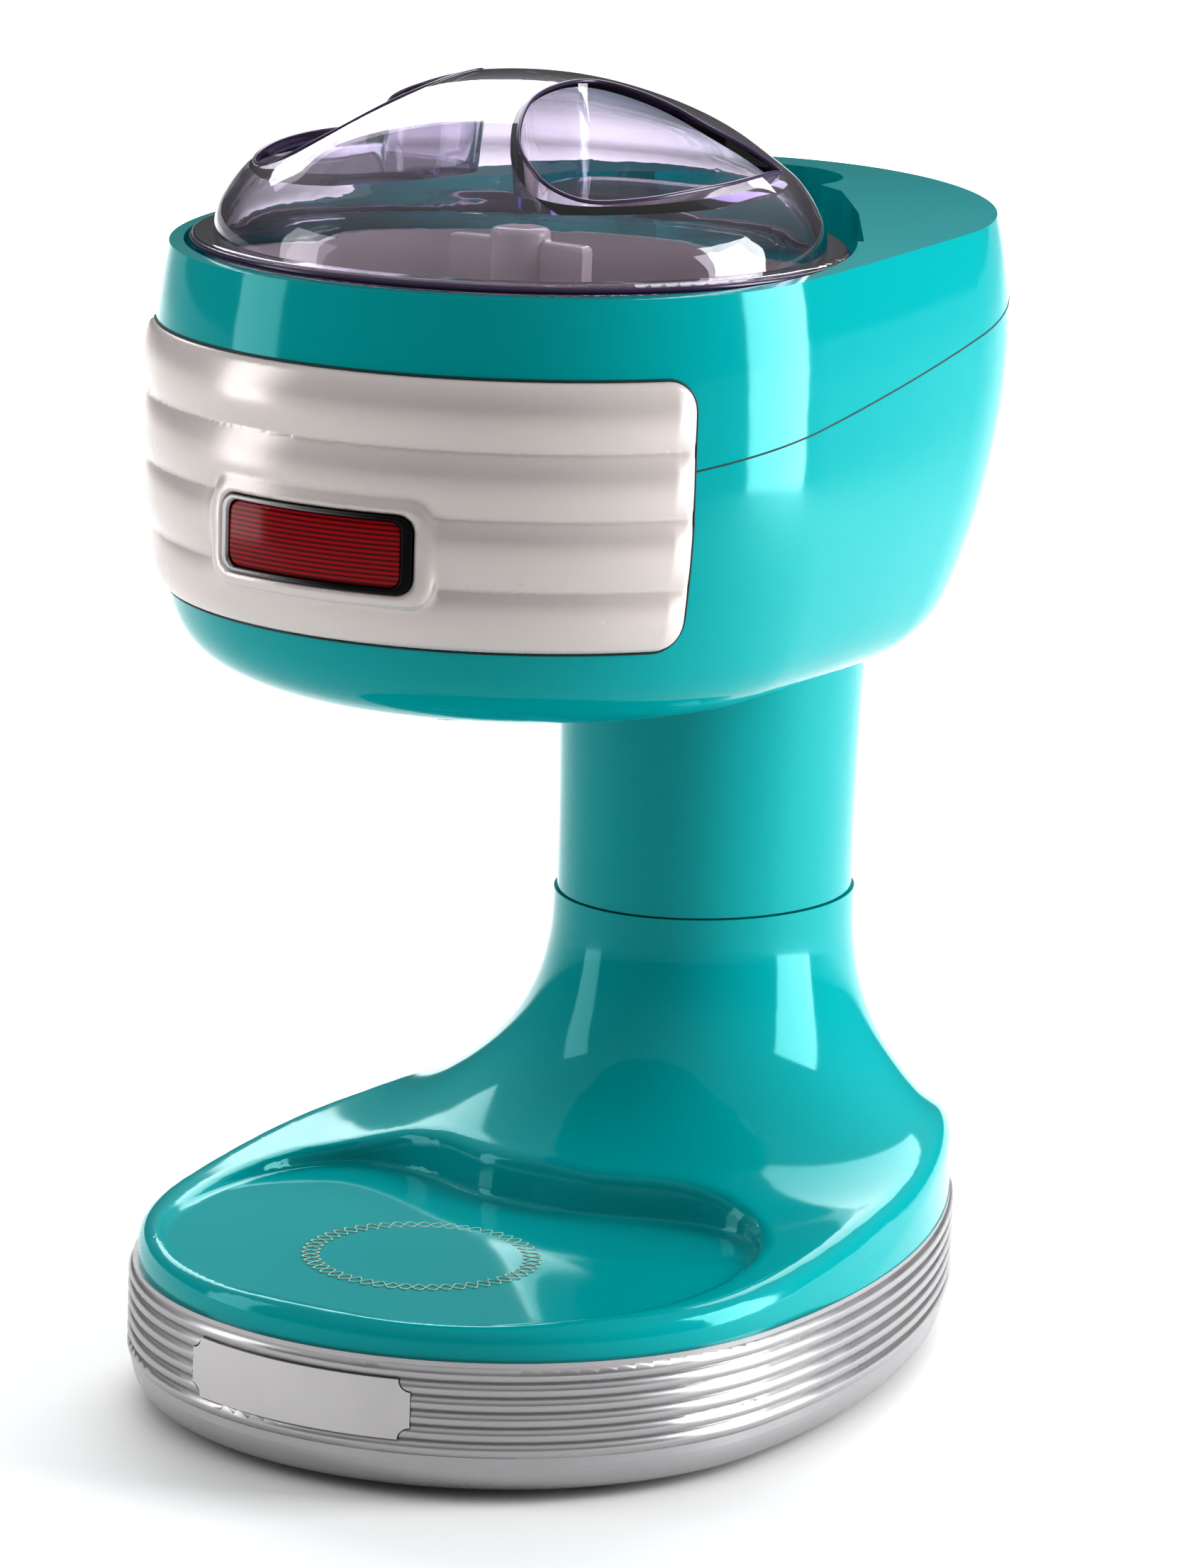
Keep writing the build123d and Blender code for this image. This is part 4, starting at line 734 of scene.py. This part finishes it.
# ---------------------------------------------------------------- settings
class ShaverForms(bpy.types.PropertyGroup):
    cover_step: bpy.props.FloatProperty(
        name="Cover grid",
        description="Spacing of the base cover's mesh, in millimetres",
        default=1.4, min=0.8,
    )
    panel_step: bpy.props.FloatProperty(
        name="Panel grid",
        description="Spacing of the front panel's mesh, in millimetres",
        default=0.9, min=0.5,
    )
    band_depth: bpy.props.FloatProperty(
        name="Band depth", description="How far the panel's bands swell, in millimetres", default=1.8, min=0
    )
    pad_radius: bpy.props.FloatProperty(
        name="Badge pad",
        description="Radius of the pad round the badge, in millimetres",
        default=96.9, min=90,
    )
    band_fade: bpy.props.FloatProperty(
        name="Band fade",
        description="Width over which the bands end at the sides, in millimetres",
        default=6.0, min=1,
    )
    badge_step: bpy.props.FloatProperty(
        name="Badge grid", description="Spacing of the badge's meshes, in millimetres", default=0.45, min=0.3
    )
    # the violet line round the scoops is painted shade of the clear lid's edges
    scoop_rim: bpy.props.FloatProperty(
        name="Scoop rim",
        description="Radius of the violet line round the lid's scoops, in millimetres",
        default=0.6,
    )
    lid_edge: bpy.props.FloatProperty(
        name="Lid edge", description="Widest bevel at the lid's edges, in millimetres", default=0.6, min=0.05
    )


class ShaverTrim(bpy.types.PropertyGroup):
    gap_width: bpy.props.FloatProperty(
        name="Shell gap",
        description="Width of the line between the head's shells, in millimetres",
        default=0.7,
    )
    panel_gap: bpy.props.FloatProperty(
        name="Panel gap", description="Radius of the dark line round the panel, in millimetres", default=0.34
    )
    ring_radius: bpy.props.FloatProperty(
        name="Tray ring", description="Radius of the printed ring on the tray, in millimetres", default=29.0
    )
    ring_waves: bpy.props.IntProperty(
        name="Tray ring waves", description="Waves in the printed ring", default=26, min=3
    )


class ShaverStudio(bpy.types.PropertyGroup):
    side_light: bpy.props.FloatProperty(
        name="Side light", description="Power of the tall light on the right, in watts", default=24.0
    )
    front_light: bpy.props.FloatProperty(
        name="Front light", description="Power of the light on the left, in watts", default=5.0
    )
    rear_light: bpy.props.FloatProperty(
        name="Rear light", description="Power of the light over the floor behind, in watts", default=75.0
    )
    sky: bpy.props.FloatProperty(
        name="Sky", description="Brightness of the studio overhead", default=0.9
    )
    horizon: bpy.props.FloatProperty(
        name="Horizon", description="Brightness of the studio at eye level", default=0.12
    )
    gamma: bpy.props.FloatProperty(
        name="Gamma", description="Contrast of the picture; below 1 deepens its middle tones", default=0.8
    )
    distance: bpy.props.FloatProperty(
        name="Camera distance", description="From the camera to its target, in metres", default=1.84
    )
    lens: bpy.props.FloatProperty(
        name="Lens", description="Focal length, in millimetres", default=158.3
    )


# ---------------------------------------------------------------- operators
class SHAVER_OT_finishes(bpy.types.Operator):
    """Gives every CAD node its finish."""
    bl_idname = "shaver.finishes"
    bl_label = "Finishes"

    def execute(self, context):
        for finish, names in DRESSED:
            for name in names:
                mesh = NODES[name].data
                mesh.materials.clear()
                mesh.materials.append(finish.material)
        bare = [name for name, node in NODES.items() if not node.data.materials]
        if bare:
            raise RuntimeError(f"no finish on {bare}")
        return {"FINISHED"}


class SHAVER_OT_base_cover(bpy.types.Operator):
    """Makes the base's glossy cover: tray, rim and the flared foot of the column in one smooth form."""
    bl_idname = "shaver.base_cover"
    bl_label = "Base cover"

    def execute(self, context):
        half = list(TRAY)
        loop = rounded_loop(half + [(-x, y) for x, y in half[:0:-1]], TRAY_LOOP_POINTS)
        points, faces = mesh_of(base_field(loop), *COVER_SPACE, context.scene.shaver_forms.cover_step)
        cover = add_mesh("base_cover_form", points, faces, teal)
        cut(cover, (0, 0, SEAM_Z - SEAM_DROP), (0, 0, 1))
        cut(cover, (0, 0, COVER_BOTTOM_Z), (0, 0, -1))
        bpy.ops.object.shade_smooth_by_angle(angle=math.radians(50))
        settle(cover, "stand", "teal_shell", "base_cover")
        return {"FINISHED"}


class SHAVER_OT_front_panel(bpy.types.Operator):
    """Makes the banded front panel with the raised pad round the badge."""
    bl_idname = "shaver.front_panel"
    bl_label = "Front panel"

    def execute(self, context):
        settings = context.scene.shaver_forms
        low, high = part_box("front_panel")
        margin = 3.0
        points, faces = mesh_of(
            panel_field(settings),
            [part / MM - margin for part in low],
            [part / MM + margin for part in high],
            settings.panel_step,
        )
        panel = add_mesh("front_panel_form", points, faces, pearl)
        settle(panel, "stand", "panel", "front_panel")
        return {"FINISHED"}


class SHAVER_OT_badge(bpy.types.Operator):
    """Makes the badge: its plated frame and the bare red lens with fine lines."""
    bl_idname = "shaver.badge"
    bl_label = "Badge"

    def execute(self, context):
        step = context.scene.shaver_forms.badge_step
        half_width, half_height = BADGE_REACH
        front, back = BADGE_SPACE
        low = (-half_width, HEAD_Y - front, BADGE_Z - half_height)
        high = (half_width, HEAD_Y - back, BADGE_Z + half_height)
        for node, field, finish, slot in (
            ("badge_frame", frame_field, badge_frame, "chrome_trim"),
            ("badge_lens", lens_field, badge_lens, "badge_red"),
        ):
            points, faces = mesh_of(field, low, high, step)
            piece = add_mesh(node + "_form", points, faces, finish)
            settle(piece, "stand", slot, node)
        return {"FINISHED"}


class SHAVER_OT_lid_edges(bpy.types.Operator):
    """Steadies the shading at the clear lid's edges and draws painted violet shade along its flange and
    scoops.
    """
    bl_idname = "shaver.lid_edges"
    bl_label = "Lid edges"

    def execute(self, context):
        settings = context.scene.shaver_forms
        # very short edges in the lid's mesh hold the bevel to almost no width: it serves the shading
        rounding = NODES["lid"].modifiers.new("soft_edges", "BEVEL")
        rounding.limit_method = "ANGLE"
        rounding.angle_limit = math.radians(38)
        rounding.width = settings.lid_edge * MM
        rounding.segments = 2
        rounding.harden_normals = True
        radius, height, thickness = FLANGE_RIM
        count = 240
        flange = []
        for step in range(count):
            turn = 2 * math.pi * step / count
            flange.append((radius * math.sin(turn), HEAD_Y + radius * math.cos(turn), height))
        # painted shade: dark violet tubes along the flange's edge and round both scoops
        rims = [add_mesh("lid_rim_flange", *closed_tube(flange, thickness), lid_rim)]
        for side in (1, -1):
            points, faces = closed_tube(scoop_rim(side), settings.scoop_rim, flat=True)
            rims.append(add_mesh("lid_rim_scoop", points, faces, lid_rim))
        settle(joined(rims, "lid_rims"), "lid_set", "lid_clear")
        return {"FINISHED"}


class SHAVER_OT_gaps(bpy.types.Operator):
    """Draws painted shade as dark lines where shells meet: round the head and round the front panel."""
    bl_idname = "shaver.gaps"
    bl_label = "Gaps between shells"

    def execute(self, context):
        trim = context.scene.shaver_trim
        self.head_line(trim.gap_width)
        self.panel_line(trim.panel_gap)
        return {"FINISHED"}

    def head_line(self, width):
        """A thin strip of the lower shell's wall, just proud of it, at its parting plane, dark as painted
        shade of the gap.
        """
        proud, thickness = 0.12 * MM, 0.5 * MM
        # painted shade: the strip is coloured near-black teal to stand for the shade in the parting gap
        line = copy_of("head_lower", "head_gap", gap_shade_teal)
        tilt = math.radians(PARTING_TILT)
        upward = (0, -math.sin(tilt), math.cos(tilt))
        downward = tuple(-part for part in upward)
        cut(line, (0, 0, PARTING_Z + width / 2), upward, fill=False)
        cut(line, (0, 0, PARTING_Z - width / 2), downward, fill=False)
        bpy.ops.object.mode_set(mode="EDIT")
        bpy.ops.mesh.select_all(action="SELECT")
        bpy.ops.mesh.remove_doubles(threshold=0.01 * MM)
        bpy.ops.mesh.separate(type="LOOSE")
        bpy.ops.object.mode_set(mode="OBJECT")
        strips = list(bpy.context.selected_objects)
        widest = max(strips, key=lambda strip: strip.dimensions.x + strip.dimensions.y)
        for strip in strips:
            if strip is not widest:
                bpy.data.objects.remove(strip)
        only(widest)
        bpy.ops.object.mode_set(mode="EDIT")
        bpy.ops.mesh.select_all(action="SELECT")
        bpy.ops.transform.shrink_fatten(value=proud)
        bpy.ops.object.mode_set(mode="OBJECT")
        body = widest.modifiers.new("thickness", "SOLIDIFY")
        body.thickness = thickness
        body.offset = -1
        bpy.ops.object.modifier_apply(modifier=body.name)
        widest.name = "head_gap"
        settle(widest, "stand", "teal_shell")

    def panel_line(self, radius):
        """A thin dark tube of painted shade, half sunk in the head, round the panel's outline."""
        low, high = BAND_EDGES[0], BAND_EDGES[-1]
        wall_at = curve_through(*zip(*HEAD_RADII))
        margin = 0.2
        spacing = 2.0
        half_width = PANEL_HALF_ANGLE * PANEL_ROUND + margin
        half_height = (high - low) / 2 + margin
        loop = []
        corner = PANEL_CORNER + margin
        for quarter in range(4):
            across = (half_width - corner) * (1 if quarter in (0, 3) else -1)
            up = (half_height - corner) * (1 if quarter in (0, 1) else -1)
            for step in range(13):
                turn = math.radians(90 * quarter + 7.5 * step)
                loop.append((across + corner * math.cos(turn), up + corner * math.sin(turn)))
        dense = []
        for (ax, az), (bx, bz) in zip(loop, loop[1:] + loop[:1]):
            pieces = max(1, round(math.hypot(bx - ax, bz - az) / spacing))
            for step in range(pieces):
                share = step / pieces
                dense.append((ax + (bx - ax) * share, az + (bz - az) * share))
        points = []
        for across, up in dense:
            height = (low + high) / 2 + up
            angle = across / PANEL_ROUND
            reach = float(wall_at(height)) + 0.05
            points.append((reach * math.sin(angle), HEAD_Y - reach * math.cos(angle), height))
        verts, faces = closed_tube(points, radius)
        # painted shade: near-black teal tube standing for the shade in the gap round the panel
        line = add_mesh("panel_gap", verts, faces, gap_shade_teal)
        settle(line, "stand", "teal_shell")


class SHAVER_OT_tray_ring(bpy.types.Operator):
    """Prints a plaited ring of two waves on the floor of the tray."""
    bl_idname = "shaver.tray_ring"
    bl_label = "Tray ring"

    def execute(self, context):
        trim = context.scene.shaver_trim
        wave_height, line_width, steps = 2.2, 0.42, 720
        bands = []
        for phase in (0, math.pi):
            points, faces = ribbon(
                TRAY_RING_CENTRE,
                lambda turn: trim.ring_radius + wave_height * math.sin(trim.ring_waves * turn + phase),
                steps, line_width, TRAY_FLOOR_Z - 0.1, TRAY_FLOOR_Z + 0.05 + phase * 0.01,
            )
            bands.append(add_mesh(f"tray_ring_{len(bands)}", points, faces, print_cream))
        ring = joined(bands, "tray_ring")
        settle(ring, "stand", "ivory_trim")
        return {"FINISHED"}


LAMPS = (
    # name, which is also the setting of its power, place, target, width, height; all in metres
    ("side_light", (1.10, 0.58, 0.45), (0, 0, 0.22), 0.60, 1.05),
    ("front_light", (-1.02, -0.72, 0.42), (0, 0, 0.22), 0.42, 0.95),
    ("rear_light", (-1.3, 1.9, 1.6), (-1.3, 1.9, 0), 2.6, 2.2),
)
CAMERA_ANGLES = (30.717, 12.40, -1.878)      # azimuth, elevation and roll, in degrees
CAMERA_TARGET = (0, 1.75, 158.42)            # millimetres


class SHAVER_OT_studio(bpy.types.Operator):
    """Sets up the floor, the soft lights and the camera."""
    bl_idname = "shaver.studio"
    bl_label = "Studio"

    def execute(self, context):
        studio = context.scene.shaver_studio
        self.floor()
        self.world(studio)
        for name, place, target, width, height in LAMPS:
            area_light(name, place, target, width, height, getattr(studio, name))
        self.camera(studio)
        context.scene.view_settings.view_transform = "Standard"
        context.scene.view_settings.gamma = studio.gamma
        return {"FINISHED"}

    def floor(self):
        """Pale floor, a hair under the feet, far past the edge of the picture."""
        bpy.ops.mesh.primitive_plane_add(size=40, location=(0, 0, -0.0005))
        floor = bpy.context.object
        floor.name = "studio_floor"
        finish = Finish("studio_floor", (0.86, 0.86, 0.86), 0.7)
        floor.data.materials.append(finish.material)

    def world(self, studio):
        """Bright overhead, dimmer at eye level."""
        world = bpy.data.worlds.new("studio")
        bpy.context.scene.world = world
        world.use_nodes = True
        tree = world.node_tree
        place = tree.nodes.new("ShaderNodeTexCoord")
        split = tree.nodes.new("ShaderNodeSeparateXYZ")
        spread = tree.nodes.new("ShaderNodeMapRange")
        spread.interpolation_type = "SMOOTHSTEP"
        spread.inputs["From Min"].default_value = 0.05
        spread.inputs["From Max"].default_value = 0.75
        spread.inputs["To Min"].default_value = studio.horizon
        spread.inputs["To Max"].default_value = studio.sky
        background = tree.nodes["Background"]
        background.inputs["Color"].default_value = (1, 1, 1, 1)
        tree.links.new(place.outputs["Generated"], split.inputs["Vector"])
        tree.links.new(split.outputs["Z"], spread.inputs["Value"])
        tree.links.new(spread.outputs["Result"], background.inputs["Strength"])

    def camera(self, studio):
        """Slightly above, from the front right, with a small roll."""
        azimuth, elevation, roll = (math.radians(angle) for angle in CAMERA_ANGLES)
        target = Vector(CAMERA_TARGET) * MM
        toward = Vector((
            math.sin(azimuth) * math.cos(elevation),
            -math.cos(azimuth) * math.cos(elevation),
            math.sin(elevation),
        ))
        right = Vector((math.cos(azimuth), math.sin(azimuth), 0))
        up = toward.cross(right)
        turned_right = right * math.cos(roll) - up * math.sin(roll)
        turned_up = up * math.cos(roll) + right * math.sin(roll)
        matrix = Matrix((turned_right, turned_up, toward)).transposed().to_4x4()
        matrix.translation = target + toward * studio.distance
        data = bpy.data.cameras.new("camera")
        data.lens = studio.lens
        camera = bpy.data.objects.new("camera", data)
        bpy.context.scene.collection.objects.link(camera)
        camera.matrix_world = matrix
        bpy.context.scene.camera = camera


def area_light(name, place, target, width, height, power):
    lamp = bpy.data.lights.new(name, "AREA")
    lamp.shape = "RECTANGLE"
    lamp.size = width
    lamp.size_y = height
    lamp.energy = power
    holder = bpy.data.objects.new(name, lamp)
    bpy.context.scene.collection.objects.link(holder)
    holder.location = place
    holder.rotation_euler = (Vector(target) - Vector(place)).to_track_quat("-Z", "Y").to_euler()
    return holder


class SHAVER_PT_panel(bpy.types.Panel):
    bl_label = "Ice shaver"
    bl_idname = "SHAVER_PT_panel"
    bl_space_type = "VIEW_3D"
    bl_region_type = "UI"
    bl_category = "Ice Shaver"

    def draw(self, context):
        groups = (
            (context.scene.shaver_forms, (
                SHAVER_OT_finishes, SHAVER_OT_base_cover, SHAVER_OT_front_panel, SHAVER_OT_badge,
                SHAVER_OT_lid_edges,
            )),
            (context.scene.shaver_trim, (SHAVER_OT_gaps, SHAVER_OT_tray_ring)),
            (context.scene.shaver_studio, (SHAVER_OT_studio,)),
        )
        for settings, operators in groups:
            box = self.layout.box()
            for key in settings.__annotations__:
                box.prop(settings, key)
            for operator in operators:
                box.operator(operator.bl_idname)


CLASSES = (
    ShaverForms, ShaverTrim, ShaverStudio,
    SHAVER_OT_finishes, SHAVER_OT_base_cover, SHAVER_OT_front_panel, SHAVER_OT_badge,
    SHAVER_OT_lid_edges, SHAVER_OT_gaps, SHAVER_OT_tray_ring, SHAVER_OT_studio, SHAVER_PT_panel,
)


def register():
    for kind in CLASSES:
        bpy.utils.register_class(kind)
    bpy.types.Scene.shaver_forms = bpy.props.PointerProperty(type=ShaverForms)
    bpy.types.Scene.shaver_trim = bpy.props.PointerProperty(type=ShaverTrim)
    bpy.types.Scene.shaver_studio = bpy.props.PointerProperty(type=ShaverStudio)


def unregister():
    del bpy.types.Scene.shaver_studio
    del bpy.types.Scene.shaver_trim
    del bpy.types.Scene.shaver_forms
    for kind in reversed(CLASSES):
        bpy.utils.unregister_class(kind)


def main():
    register()
    bpy.ops.shaver.studio()
    bpy.ops.shaver.finishes()
    bpy.ops.shaver.base_cover()
    bpy.ops.shaver.front_panel()
    bpy.ops.shaver.badge()
    bpy.ops.shaver.lid_edges()
    bpy.ops.shaver.gaps()
    bpy.ops.shaver.tray_ring()


if __name__ == "__main__":
    main()
